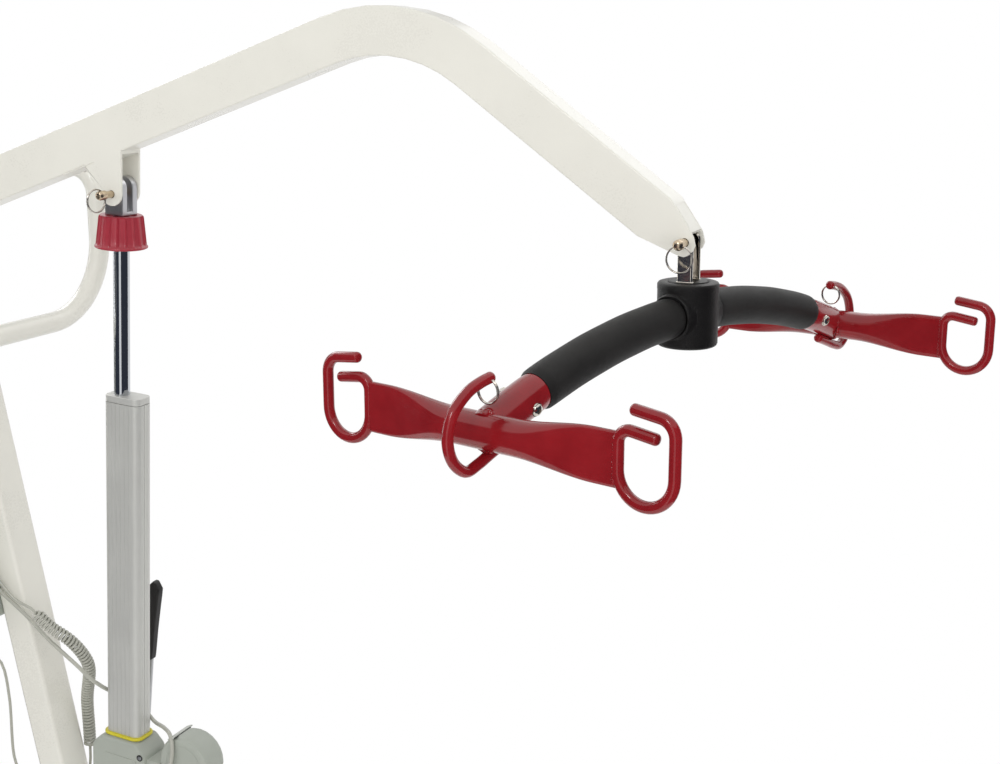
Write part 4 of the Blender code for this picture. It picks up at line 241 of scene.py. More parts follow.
class FinishNodes(Tree):
    """Builds the node tree of one finish."""

    patch_range: Spot = (0.35, 0.65)
    grain_range: Spot = (0.30, 0.70)
    grain_shade: float = 0.86
    grain_show: float = 0.45
    gloss_grain: float = 0.6
    gloss_range: Spot = (0.5, 1.1)
    edge_reach: float = 0.0022
    edge_range: Spot = (0.985, 0.90)
    wear_scale: float = 90.0
    wear_range: Spot = (0.42, 0.62)
    foam_swell: Spot = (55.0, 1.6)
    mould_grain: float = 0.8
    powder_peel: Spot = (160.0, 1.4)
    drawn_finer: Spot = (2.7, 0.5)

    def __init__(self, finish: Finish, material: bpy.types.Material) -> None:
        """Keep the finish and open its tree.

        Args:
            finish: the finish.
            material: its empty material.
        """
        super().__init__(material)
        self.finish = finish
        self.shader = self.tree.nodes["Principled BSDF"]

    def noise(self, place: Socket, scale: float, detail: float) -> Socket:
        """Noise over a place.

        Args:
            place: the coordinates.
            scale: its waves per metre.
            detail: how many finer waves it has.

        Returns:
            The noise's value.
        """
        made = self.node("ShaderNodeTexNoise", Scale=scale, Detail=detail, Roughness=0.55)
        self.join(place, made.inputs["Vector"])
        return made.outputs[0]

    def cells(self, place: Socket) -> Socket:
        """Distance to the nearest centre of the grain's cells.

        Args:
            place: the coordinates.

        Returns:
            The distance.
        """
        made = self.node("ShaderNodeTexVoronoi", Scale=self.finish.grain_scale)
        self.join(place, made.inputs["Vector"])
        return made.outputs["Distance"]

    def sum(self, one: Socket, two: Socket, share: float) -> Socket:
        """One value plus a share of another.

        Args:
            one, two: the values.
            share: how much of the second is added.

        Returns:
            The sum.
        """
        made = self.node("ShaderNodeMath", operation='MULTIPLY_ADD')
        self.join(two, made.inputs[0])
        made.inputs[1].default_value = share
        self.join(one, made.inputs[2])
        return made.outputs[0]

    def blend(self, share: Socket, one: object, two: object) -> Socket:
        """Mix two colours.

        Args:
            share: how much of the second one shows.
            one, two: each a colour or a socket.

        Returns:
            The mixed colour.
        """
        made = self.node("ShaderNodeMix", data_type='RGBA')
        self.join(share, made.inputs[0])
        for socket, value in ((made.inputs[6], one), (made.inputs[7], two)):
            if isinstance(value, Socket):
                self.join(value, socket)
            else:
                socket.default_value = (*value, 1.0)
        return made.outputs[2]

    def edges(self) -> Socket:
        """Compare the true normal with an eased one.

        Returns:
            How near a point is to a sharp edge, from 0 to 1.
        """
        eased_normal = self.node("ShaderNodeBevel", samples=4, Radius=self.edge_reach)
        plain = self.node("ShaderNodeNewGeometry")
        dot = self.node("ShaderNodeVectorMath", operation='DOT_PRODUCT')
        self.join(eased_normal.outputs[0], dot.inputs[0])
        self.join(plain.outputs["Normal"], dot.inputs[1])
        return self.scaled(dot.outputs["Value"], *self.edge_range, 0.0, 1.0)

    def build(self) -> None:
        """Join colour, roughness and bump to the shader."""
        finish, inputs = self.finish, self.shader.inputs
        inputs["Metallic"].default_value = finish.metallic
        inputs["Coat Weight"].default_value = finish.coat
        inputs["Coat Roughness"].default_value = finish.coat_roughness
        inputs["Specular IOR Level"].default_value = finish.specular
        place = self.node("ShaderNodeTexCoord").outputs["Object"]
        turned = self.node("ShaderNodeMapping", Rotation=(0.0, -finish.lean, 0.0), Scale=finish.stretch)
        self.join(place, turned.inputs["Vector"])
        drawn = turned.outputs["Vector"]
        mottle = self.noise(place, finish.mottle_scale, 4.0)
        grain = self.noise(drawn, finish.grain_scale, 2.0)
        dark = tuple(c * (1 - finish.mottle) for c in finish.colour)
        light = tuple(min(1.0, c * (1 + finish.mottle)) for c in finish.colour)
        colour = self.blend(self.scaled(mottle, *self.patch_range, 0.0, 1.0), dark, light)
        if finish.grain in (Grain.DRAWN, Grain.FOAM, Grain.MOULDED):
            deeper = tuple(c * self.grain_shade for c in finish.colour)
            colour = self.blend(self.scaled(grain, *self.grain_range, self.grain_show, 0.0), colour, deeper)
        rough = self.scaled(self.sum(mottle, grain, self.gloss_grain), *self.gloss_range,
                            finish.roughness - finish.rough_change, finish.roughness + finish.rough_change)
        if finish.edge:
            patches = self.scaled(self.noise(place, self.wear_scale, 4.0), *self.wear_range, 0.0, finish.edge)
            worn = self.maths('MULTIPLY', self.edges(), patches, True)
            colour = self.blend(worn, colour, finish.edge_colour)
        self.join(colour, inputs["Base Color"])
        self.join(rough, inputs["Roughness"])
        self.join(self.relief(place, drawn, grain), inputs["Normal"])

    def relief(self, place: Socket, drawn: Socket, grain: Socket) -> Socket:
        """The bump that suits the grain.

        Args:
            place: the object coordinates.
            drawn: the same, turned and stretched along the piece.
            grain: the finish's fine noise.

        Returns:
            The bumped normal.
        """
        kind, height = self.finish.grain, grain
        if kind is Grain.FOAM:
            scale, share = self.foam_swell
            height = self.sum(self.cells(place), self.noise(place, scale, 2.0), share)
        elif kind is Grain.MOULDED:
            height = self.sum(self.cells(place), grain, self.mould_grain)
        elif kind is Grain.POWDER:
            scale, share = self.powder_peel
            height = self.sum(grain, self.noise(place, scale, 1.0), share)
        elif kind is Grain.DRAWN:
            scale, share = self.drawn_finer
            height = self.sum(grain, self.noise(drawn, self.finish.grain_scale * scale, 1.0), share)
        made = self.node("ShaderNodeBump", Distance=self.finish.grain_depth, Strength=1.0)
        self.join(height, made.inputs["Height"])
        return made.outputs["Normal"]


OFF_WHITE = Finish(
    "off_white_powder_coat", "off_white_paint", (0.80, 0.785, 0.715), 0.30, Grain.POWDER, coat=0.25,
    coat_roughness=0.12, mottle=0.018, mottle_scale=9.0, grain_scale=420.0, grain_depth=0.00005, edge=0.35,
    edge_colour=(0.62, 0.60, 0.53))
DEEP_RED = Finish(
    "deep_red_gloss_paint", "deep_red_paint", (0.245, 0.0078, 0.0115), 0.20, Grain.SMOOTH, coat=0.42,
    coat_roughness=0.03, specular=0.32, mottle=0.10, mottle_scale=26.0, grain_scale=120.0,
    grain_depth=0.00012, edge=0.45, edge_colour=(0.12, 0.006, 0.010))
FOAM_BLACK = Finish(
    "black_foam", "foam", (0.016, 0.0150, 0.0145), 0.55, Grain.FOAM, mottle=0.22, mottle_scale=30.0,
    grain_scale=1500.0, grain_depth=0.00022, specular=0.22)
HUB_BLACK = Finish(
    "textured_black_casting", "moulded_black", (0.0085, 0.0078, 0.0078), 0.40, Grain.MOULDED, mottle=0.2,
    grain_scale=900.0, grain_depth=0.00035, specular=0.28, edge=0.6, edge_colour=(0.045, 0.043, 0.042))
GRIP_BLACK = Finish(
    "black_grip_rubber", "moulded_black", (0.014, 0.013, 0.013), 0.55, Grain.MOULDED, mottle=0.15,
    grain_scale=1300.0, grain_depth=0.00010, edge=0.5, edge_colour=(0.035, 0.034, 0.033))
GROUND_STEEL = Finish(
    "ground_steel", "bright_steel", (0.62, 0.62, 0.64), 0.34, Grain.DRAWN, metallic=1.0, mottle=0.06,
    grain_scale=700.0, grain_depth=0.00001, stretch=(1.0, 1.0, 0.06), lean=ROD_LEAN)
PISTON_CHROME = Finish(
    "hard_chrome", "bright_steel", (0.55, 0.57, 0.60), 0.09, Grain.PLATED, metallic=1.0, mottle=0.03,
    grain_scale=260.0, grain_depth=0.000004, rough_change=0.03)
NICKEL = Finish(
    "bright_nickel_plate", "plated", (0.66, 0.62, 0.56), 0.13, Grain.PLATED, metallic=1.0, mottle=0.08,
    grain_scale=300.0, grain_depth=0.00002, rough_change=0.05, edge=0.4, edge_colour=(0.40, 0.36, 0.31))
PASSIVATED = Finish(
    "yellow_passivated_zinc", "plated", (0.62, 0.50, 0.36), 0.26, Grain.PLATED, metallic=1.0, mottle=0.10,
    grain_scale=300.0, grain_depth=0.00002, rough_change=0.05, edge=0.3, edge_colour=(0.34, 0.26, 0.18))
ZINC = Finish(
    "zinc_plate", "bright_steel", (0.52, 0.53, 0.54), 0.30, Grain.PLATED, metallic=1.0, mottle=0.10,
    grain_depth=0.00002)
ANODISED = Finish(
    "satin_anodised", "aluminium", (0.62, 0.62, 0.59), 0.45, Grain.DRAWN, metallic=0.35, mottle=0.03,
    grain_scale=900.0, grain_depth=0.00001, stretch=(1.0, 1.0, 0.012), lean=ROD_LEAN)
COLLAR_RED = Finish(
    "moulded_red", "collar_red", (0.370, 0.024, 0.042), 0.36, Grain.MOULDED, mottle=0.08, coat=0.15,
    grain_scale=1400.0, grain_depth=0.00004, edge=0.3, edge_colour=(0.50, 0.09, 0.11))
SEAL_YELLOW = Finish(
    "yellow_seal_rubber", "seal_yellow", (0.68, 0.60, 0.030), 0.42, Grain.MOULDED, mottle=0.10,
    grain_scale=900.0, grain_depth=0.00004)
HOUSING_GREY = Finish(
    "grey_green_housing", "housing_grey", (0.400, 0.425, 0.375), 0.50, Grain.MOULDED, mottle=0.04,
    grain_scale=1500.0, grain_depth=0.00008, edge=0.3, edge_colour=(0.50, 0.52, 0.47))
LID_GREY = Finish(
    "pale_lid", "housing_grey", (0.55, 0.57, 0.52), 0.38, Grain.MOULDED, mottle=0.03,
    grain_scale=1500.0, grain_depth=0.00004)
HANDSET_GREY = Finish(
    "handset_shell", "handset_grey", (0.50, 0.52, 0.46), 0.44, Grain.MOULDED, mottle=0.04,
    grain_scale=1500.0, grain_depth=0.00006, edge=0.25, edge_colour=(0.58, 0.60, 0.54))
# Near-black painted shade: the wells round the gearbox screws and the slit beside the motor lid are painted
# this dark where shade falls.
PAINTED_SHADE_BLACK = Finish(
    "painted_shade_black", "moulded_black", (0.025, 0.026, 0.025), 0.50, Grain.MOULDED, mottle=0.12,
    grain_scale=1200.0, grain_depth=0.00005)
STOP_RED = Finish(
    "stop_button_red", "stop_red", (0.50, 0.018, 0.018), 0.28, Grain.SMOOTH, coat=0.3, mottle=0.04,
    grain_scale=400.0)
CASTER_GREY = Finish(
    "caster_nylon", "caster_grey", (0.27, 0.275, 0.28), 0.46, Grain.MOULDED, mottle=0.06,
    grain_scale=1300.0, grain_depth=0.00006, edge=0.5, edge_colour=(0.36, 0.36, 0.36))
TREAD_GREY = Finish(
    "grey_tread", "wheel_rubber", (0.165, 0.168, 0.172), 0.58, Grain.FOAM, mottle=0.14,
    grain_scale=1100.0, grain_depth=0.00006)
CORD_GREY = Finish(
    "cord_sheath", "cord_grey", (0.44, 0.44, 0.385), 0.42, Grain.SMOOTH, mottle_scale=60.0,
    grain_scale=700.0)


# Modelling bench

MERGE = 0.00002
SLIVER = 0.00001
FLAT_ANGLE = math.radians(0.4)
TUBE_ANGLE = 62.0
ROD_DOME = ((0.0, 0.50), (0.10, 0.76), (0.32, 0.93), (0.62, 1.0))
ROD_EASE = ((0.0, 0.93), (0.07, 1.0))
BEAD_STEP = 0.45
BEAD_BODY = 0.86
BEAD_SCALLOP = (0.14, 1.25)
BEAD_WAVER = (0.05, 0.37)
BEAD_TIP = 0.5
BEAD_SIDES = 10
ROUTE_STEPS = 12
RING_WIRE = 0.0009
RING_PITCH = 0.95


def fresh() -> None:
    """Leave edit mode with nothing selected."""
    if bpy.context.mode != 'OBJECT':
        bpy.ops.object.mode_set(mode='OBJECT')
    bpy.ops.object.select_all(action='DESELECT')


def take(piece: Piece) -> None:
    """Make one object the only one selected.

    Args:
        piece: the object.
    """
    fresh()
    piece.select_set(True)
    bpy.context.view_layer.objects.active = piece


def added(name: str, data: bpy.types.ID) -> Piece:
    """Put a new object into the scene.

    Args:
        name: what it is called.
        data: its mesh, curve, camera or lamp.

    Returns:
        The object.
    """
    made = bpy.data.objects.new(name, data)
    bpy.context.scene.collection.objects.link(made)
    return made


def open_edit(piece: Piece, kind: str = 'FACE', pick: str = 'SELECT') -> bmesh.types.BMesh:
    """Enter edit mode on a piece.

    Args:
        piece: the object to edit.
        kind: VERT, EDGE or FACE select mode.
        pick: SELECT for all of it, or DESELECT for none.

    Returns:
        The edit mesh.
    """
    take(piece)
    bpy.ops.object.mode_set(mode='EDIT')
    bpy.ops.mesh.select_mode(type=kind)
    bpy.ops.mesh.select_all(action=pick)
    return bmesh.from_edit_mesh(piece.data)


def pick_faces(piece: Piece, test: Callable[[bmesh.types.BMFace], bool]) -> None:
    """Enter edit mode with only some faces selected.

    Args:
        piece: the object to edit.
        test: says whether a face is wanted.
    """
    mesh = open_edit(piece, pick='DESELECT')
    for face in mesh.faces:
        if test(face):
            face.select_set(True)
    bmesh.update_edit_mesh(piece.data)


def outline(points: Sequence[Vector], filled: bool) -> Piece:
    """Circle primitive with its corners moved to the points.

    Args:
        points: where the corners go.
        filled: whether it has a face.

    Returns:
        The outline.
    """
    fresh()
    bpy.ops.mesh.primitive_circle_add(vertices=len(points), radius=0.01,
                                      fill_type='NGON' if filled else 'NOTHING')
    piece = bpy.context.object
    for vertex, point in zip(piece.data.vertices, points):
        vertex.co = point
    return piece


def tidy(piece: Piece, merge: float = 0.0) -> Piece:
    """Point every face outwards.

    Args:
        piece: the closed mesh.
        merge: where given, doubles under this distance are merged first.

    Returns:
        The same piece.
    """
    open_edit(piece)
    if merge:
        bpy.ops.mesh.remove_doubles(threshold=merge)
        bpy.ops.mesh.dissolve_degenerate(threshold=merge)
        bpy.ops.mesh.delete_loose(use_verts=True, use_edges=True, use_faces=False)
        bpy.ops.mesh.select_all(action='SELECT')
    bpy.ops.mesh.normals_make_consistent(inside=False)
    fresh()
    return piece


def loft(rings: Sequence[Sequence[Vector]]) -> Piece:
    """Solid drawn through rings of the same number of points, by extruding the first one.

    Args:
        rings: the sections in order, each with its points in the same order.

    Returns:
        The closed solid.
    """
    def key(spot: Vector) -> Tuple[int, ...]:
        """Place of a corner to the half micrometre."""
        return tuple(int(round(c * 2e6)) for c in spot)

    piece = outline(rings[0], True)
    open_edit(piece)
    for before, after in zip(rings, rings[1:]):
        bpy.ops.mesh.extrude_region_move()
        mesh = bmesh.from_edit_mesh(piece.data)
        moves = {key(Vector(a)): Vector(b) for a, b in zip(before, after)}
        for vertex in mesh.verts:
            if vertex.select:
                vertex.co = moves[key(vertex.co)]
        bmesh.update_edit_mesh(piece.data)
    return tidy(piece)


def prism(shape: Sequence[Spot], plane: str, low: float, high: float) -> Piece:
    """Flat shape extruded between two levels.

    Args:
        shape: its corners in the plane.
        plane: XY or XZ.
        low, high: the levels on the axis that the plane leaves out.

    Returns:
        The closed solid.
    """
    return loft([[Vector((a, b, level) if plane == 'XY' else (a, level, b)) for a, b in shape]
                 for level in (low, high)])


def lathe(profile: Sequence[Spot], sides: int) -> Piece:
    """Closed profile spun about Z.

    Args:
        profile: its radii and heights.
        sides: steps of the spin.

    Returns:
        The closed solid.
    """
    piece = outline([Vector((radius, 0, height)) for radius, height in profile], False)
    open_edit(piece, 'EDGE')
    bpy.ops.mesh.spin(steps=sides, angle=2 * math.pi, center=(0, 0, 0), axis=(0, 0, 1), use_auto_merge=True)
    return tidy(piece, 1e-6)


def square_rings(points: Sequence[Vector], radii: Sequence[float], sides: int,
                 up: Optional[Vector] = None) -> List[List[Vector]]:
    """Rings square to a path, kept from twisting.

    Args:
        points: the path.
        radii: a radius for each point.
        sides: points in a ring.
        up: where given, the direction that each ring starts from.

    Returns:
        One ring for each point.
    """
    rings, side = [], up
    for index, (point, radius) in enumerate(zip(points, radii)):
        before = points[max(index - 1, 0)]
        after = points[min(index + 1, len(points) - 1)]
        ahead = (after - before).normalized()
        side = side or ahead.orthogonal().normalized()
        side = (side - ahead * side.dot(ahead)).normalized()
        other = ahead.cross(side)
        rings.append([point + side * (radius * math.cos(a)) + other * (radius * math.sin(a))
                      for a in (2 * math.pi * k / sides for k in range(sides))])
    return rings


def rod(points: Sequence[Vector], radius: float, sides: int, domed: bool = False) -> Piece:
    """Round bar along a path.

    Args:
        points: its centreline.
        radius: half its diameter.
        sides: points round it.
        domed: whether its ends are domed, instead of a little eased.

    Returns:
        The closed solid.
    """
    points = [Vector(p) for p in points]
    first = (points[1] - points[0]).normalized()
    last = (points[-1] - points[-2]).normalized()
    steps = ROD_DOME if domed else ROD_EASE
    path = [points[0] + first * (radius * run) for run, _ in steps] + points[1:-1]
    path += [points[-1] - last * (radius * run) for run, _ in reversed(steps)]
    tip = [radius * share for _, share in steps]
    return loft(square_rings(path, tip + [radius] * (len(points) - 2) + tip[::-1], sides))


def bead(points: Sequence[Vector], radius: float, closed: bool = False) -> Piece:
    """Weld bead with the small scallops that a run of weld has.

    Args:
        points: its centreline.
        radius: half its width.
        closed: whether it comes back to its start.

    Returns:
        The closed solid.
    """
    path = [Vector(p) for p in points] + ([Vector(points[0])] if closed else [])
    path = resampled(path, max(2, int(run_lengths(path)[-1] / (radius * BEAD_STEP)) + 1))
    (scallop, turn), (waver, roll) = BEAD_SCALLOP, BEAD_WAVER
    radii = [radius * (BEAD_BODY + scallop * math.cos(k * turn) + waver * math.sin(k * roll))
             for k in range(len(path))]
    radii[0] = radii[-1] = radius * BEAD_TIP
    return loft(square_rings(path, radii, BEAD_SIDES))


def split_ring(radius: float) -> Piece:
    """Flat coil of two turns that hangs from its top.

    Args:
        radius: the radius of its centreline.

    Returns:
        Both turns as one piece.
    """
    turns = []
    for shift in (-RING_WIRE * RING_PITCH, RING_WIRE * RING_PITCH):
        fresh()
        bpy.ops.mesh.primitive_torus_add(major_segments=64, minor_segments=12, major_radius=radius,
                                         minor_radius=RING_WIRE, location=(0, shift, -radius),
                                         rotation=(math.pi / 2, 0, 0))
        turns.append(bpy.context.object)
        bpy.ops.object.transform_apply(location=True, rotation=True, scale=True)
    return joined(turns)


def run_lengths(points: Sequence[Vector]) -> List[float]:
    """Length of a path up to each of its points.

    Args:
        points: the path.

    Returns:
        One length for each point.
    """
    lengths = [0.0]
    for a, b in zip(points, points[1:]):
        lengths.append(lengths[-1] + (b - a).length)
    return lengths


def resampled(points: Sequence[Vector], count: int) -> List[Vector]:
    """A path's points as a given number of evenly spaced ones.

    Args:
        points: the path.
        count: how many points it leaves with.

    Returns:
        The new points.
    """
    lengths = run_lengths(points)
    spots = np.linspace(0, lengths[-1], count)
    axes = (np.interp(spots, lengths, [p[axis] for p in points]) for axis in range(3))
    return [Vector(p) for p in zip(*axes)]


def filleted(points: Sequence[Point], radius: float, steps: int) -> List[Vector]:
    """Path through rounded corners.

    Args:
        points: its ends and corners.
        radius: the radius of each corner.
        steps: steps of each corner.

    Returns:
        The path.
    """
    route = [Vector(points[0])]
    for before, corner, after in zip(points, points[1:], points[2:]):
        corner = Vector(corner)
        back, ahead = (Vector(before) - corner).normalized(), (Vector(after) - corner).normalized()
        half = back.angle(ahead) / 2
        run = radius / math.tan(half)
        centre = corner + (back + ahead).normalized() * (radius / math.sin(half))
        first = (corner + back * run - centre).normalized()
        last = (corner + ahead * run - centre).normalized()
        route += [centre + first.slerp(last, k / steps) * radius for k in range(steps + 1)]
    return route + [Vector(points[-1])]


def smooth_route(points: Sequence[Point], count: int, before: Optional[Vector] = None,
                 after: Optional[Vector] = None) -> List[Vector]:
    """Evenly spaced points of a smooth curve through chosen points.

    Args:
        points: the points that the curve goes through.
        count: how many points it leaves with.
        before, after: where given, they set the direction of its ends.

    Returns:
        The curve's points.
    """
    knots = [Vector(p) for p in points]
    knots = [before or knots[0] * 2 - knots[1]] + knots + [after or knots[-1] * 2 - knots[-2]]
    fine = []
    for a, b, c, d in zip(knots, knots[1:], knots[2:], knots[3:]):
        for step in range(ROUTE_STEPS):
            t = step / ROUTE_STEPS
            fine.append((b * 2 + (c - a) * t + (a * 2 - b * 5 + c * 4 - d) * t * t
                         + (b * 3 - a - c * 3 + d) * t * t * t) / 2)
    return resampled(fine + [knots[-2]], count)


def share_of(value: float, start: float, long: float) -> float:
    """How far a value has gone along a stretch, from 0 to 1."""
    return min(max((value - start) / long, 0.0), 1.0)


def arc(centre: Spot, radius: float, start: float, end: float, steps: int) -> List[Spot]:
    """Points of an arc.

    Args:
        centre, radius: its circle.
        start, end: its angles in degrees.
        steps: how many steps it has.

    Returns:
        The points.
    """
    turns = [math.radians(start + (end - start) * k / steps) for k in range(steps + 1)]
    return [(centre[0] + radius * math.cos(a), centre[1] + radius * math.sin(a)) for a in turns]


def rounded(long: float, wide: float, corner: float, steps: int, shift: float = 0.0) -> List[Spot]:
    """Rounded rectangle.

    Args:
        long, wide: its sides.
        corner: the radius of its corners.
        steps: steps of each corner.
        shift: how far its middle lies along its first axis.

    Returns:
        The corners of its outline.
    """
    shape = []
    for quarter, (sx, sy) in enumerate(((1, 1), (-1, 1), (-1, -1), (1, -1))):
        centre = (sx * (long / 2 - corner) + shift, sy * (wide / 2 - corner))
        shape += arc(centre, corner, quarter * 90, quarter * 90 + 90, steps)
    return shape


def joined(pieces: Sequence[Piece]) -> Piece:
    """One object from several.

    Args:
        pieces: the objects.

    Returns:
        The first one, which now holds them all.
    """
    fresh()
    for piece in pieces:
        piece.select_set(True)
    bpy.context.view_layer.objects.active = pieces[0]
    bpy.ops.object.join()
    return bpy.context.object


def apply_modifier(piece: Piece, kind: str, **values: object) -> None:
    """Add a modifier, set it and apply it.

    Args:
        piece: the object.
        kind: the modifier's type.
        values: its settings.
    """
    take(piece)
    made = piece.modifiers.new(kind.lower(), kind)
    for key, value in values.items():
        setattr(made, key, value)
    bpy.ops.object.modifier_apply(modifier=made.name)


def weld_on(piece: Piece, tool: Piece) -> None:
    """Make a second solid part of a piece."""
    apply_modifier(piece, 'BOOLEAN', object=tool, operation='UNION', solver='EXACT')
    bpy.data.objects.remove(tool, do_unlink=True)


def eased(piece: Piece, width: float, segments: int, angle: float = 35.0) -> Piece:
    """Round the sharp edges.

    Args:
        piece: the object.
        width: how far they are eased.
        segments: steps of the easing.
        angle: edges under this many degrees are left alone.

    Returns:
        The same piece.
    """
    apply_modifier(piece, 'BEVEL', width=width, segments=segments, limit_method='ANGLE',
                   angle_limit=math.radians(angle), use_clamp_overlap=False)
    return piece


def weigh(piece: Piece, ease: Callable[[bmesh.types.BMEdge], float]) -> None:
    """Give each edge of a piece the share of the bevel that it takes.

    Args:
        piece: the object.
        ease: says an edge's share.
    """
    mesh = open_edit(piece, 'EDGE', 'DESELECT')
    layers = mesh.edges.layers.float
    layer = layers.get("bevel_weight_edge") or layers.new("bevel_weight_edge")
    for edge in mesh.edges:
        edge[layer] = ease(edge)
    bmesh.update_edit_mesh(piece.data)
    fresh()


def turned_to(piece: Piece, axis: str, spot: Point = (0, 0, 0), flip: bool = False) -> Piece:
    """Turn a piece that was modelled along Z, and move it.

    Args:
        piece: the object.
        axis: X or Y, which its Z then runs along.
        spot: where its origin goes.
        flip: whether it runs against the axis.

    Returns:
        The same piece.
    """
    turn = {'Y': Matrix.Rotation(-math.pi / 2, 4, 'X'), 'X': Matrix.Rotation(math.pi / 2, 4, 'Y')}[axis]
    if flip:
        turn = turn @ Matrix.Rotation(math.pi, 4, 'X')
    piece.data.transform(Matrix.Translation(spot) @ turn)
    return piece


def dress(piece: Piece, name: str, body: str, finish: Finish, place: Optional[Matrix] = None,
          stands_for: Sequence[str] = (), angle: float = 35.0, weighted: bool = True) -> Piece:
    """Finish a piece: put its place in its mesh, shade it, give it its finish and let it ride.

    Args:
        piece: the modelled object.
        name: what it is called.
        body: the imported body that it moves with.
        finish: its finish.
        place: the frame that it was modelled in.
        stands_for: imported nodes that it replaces.
        angle: edges under this many degrees are shaded smooth.
        weighted: whether broad faces are kept flat.

    Returns:
        The finished piece.
    """
    take(piece)
    bpy.ops.object.transform_apply(location=True, rotation=True, scale=True)
    if place is not None:
        piece.data.transform(place)
    bpy.ops.object.shade_smooth_by_angle(angle=math.radians(angle), keep_sharp_edges=False)
    if weighted:
        apply_modifier(piece, 'WEIGHTED_NORMAL', keep_sharp=True)
    piece.name = piece.data.name = name
    piece.data.materials.clear()
    piece.data.materials.append(finish.material())
    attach(piece, body)
    if stands_for:
        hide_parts(*stands_for)
    LOG.info("%s: %d faces on %s", name, len(piece.data.polygons), body)
    return piece


def refined(node: str, finish: Finish, width: float = 0.0008, segments: int = 2, angle: float = 35.0,
            smooth: float = 35.0, reshape: Optional[Callable[[Vector], Vector]] = None,
            ease: Optional[Callable[[bmesh.types.BMEdge], float]] = None,
            parted: Optional[Callable[[bpy.types.Mesh, bpy.types.MeshPolygon], int]] = None) -> Piece:
    """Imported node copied, merged, eased along its sharp edges and shaded smooth.

    Args:
        node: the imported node, which the copy stands for.
        finish: its finish.
        width: how far the edges are eased.
        segments: steps of the easing.
        angle: edges under this many degrees are left alone.
        smooth: edges under this many degrees are shaded smooth.
        reshape: where given, moves each corner a little.
        ease: where given, the share of the width that an edge is eased by.
        parted: where given, numbers the faces, and faces of two numbers are not made one.

    Returns:
        The finished copy.
    """
    source = frame["nodes"][node]
    mesh = source.data.copy()
    copy = added(node + "_copy", mesh)
    take(copy)
    if mesh.has_custom_normals:
        bpy.ops.mesh.customdata_custom_splitnormals_clear()
    if reshape:
        for vertex in mesh.vertices:
            vertex.co = reshape(vertex.co.copy())
    if parted:
        for face in mesh.polygons:
            face.material_index = parted(source.data, face)
    open_edit(copy)
    bpy.ops.mesh.remove_doubles(threshold=MERGE)
    bpy.ops.mesh.dissolve_degenerate(threshold=SLIVER)
    bpy.ops.mesh.dissolve_limited(angle_limit=FLAT_ANGLE, delimit={'MATERIAL'})
    fresh()
    for face in mesh.polygons:
        face.material_index = 0
    if ease:
        weigh(copy, ease)
        apply_modifier(copy, 'BEVEL', width=width, segments=segments, limit_method='WEIGHT',
                       use_clamp_overlap=False)
    elif width:
        eased(copy, width, segments, angle)
    return dress(copy, node + "_finished", source["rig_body"], finish, None, (node,), smooth)


# Hoist arm

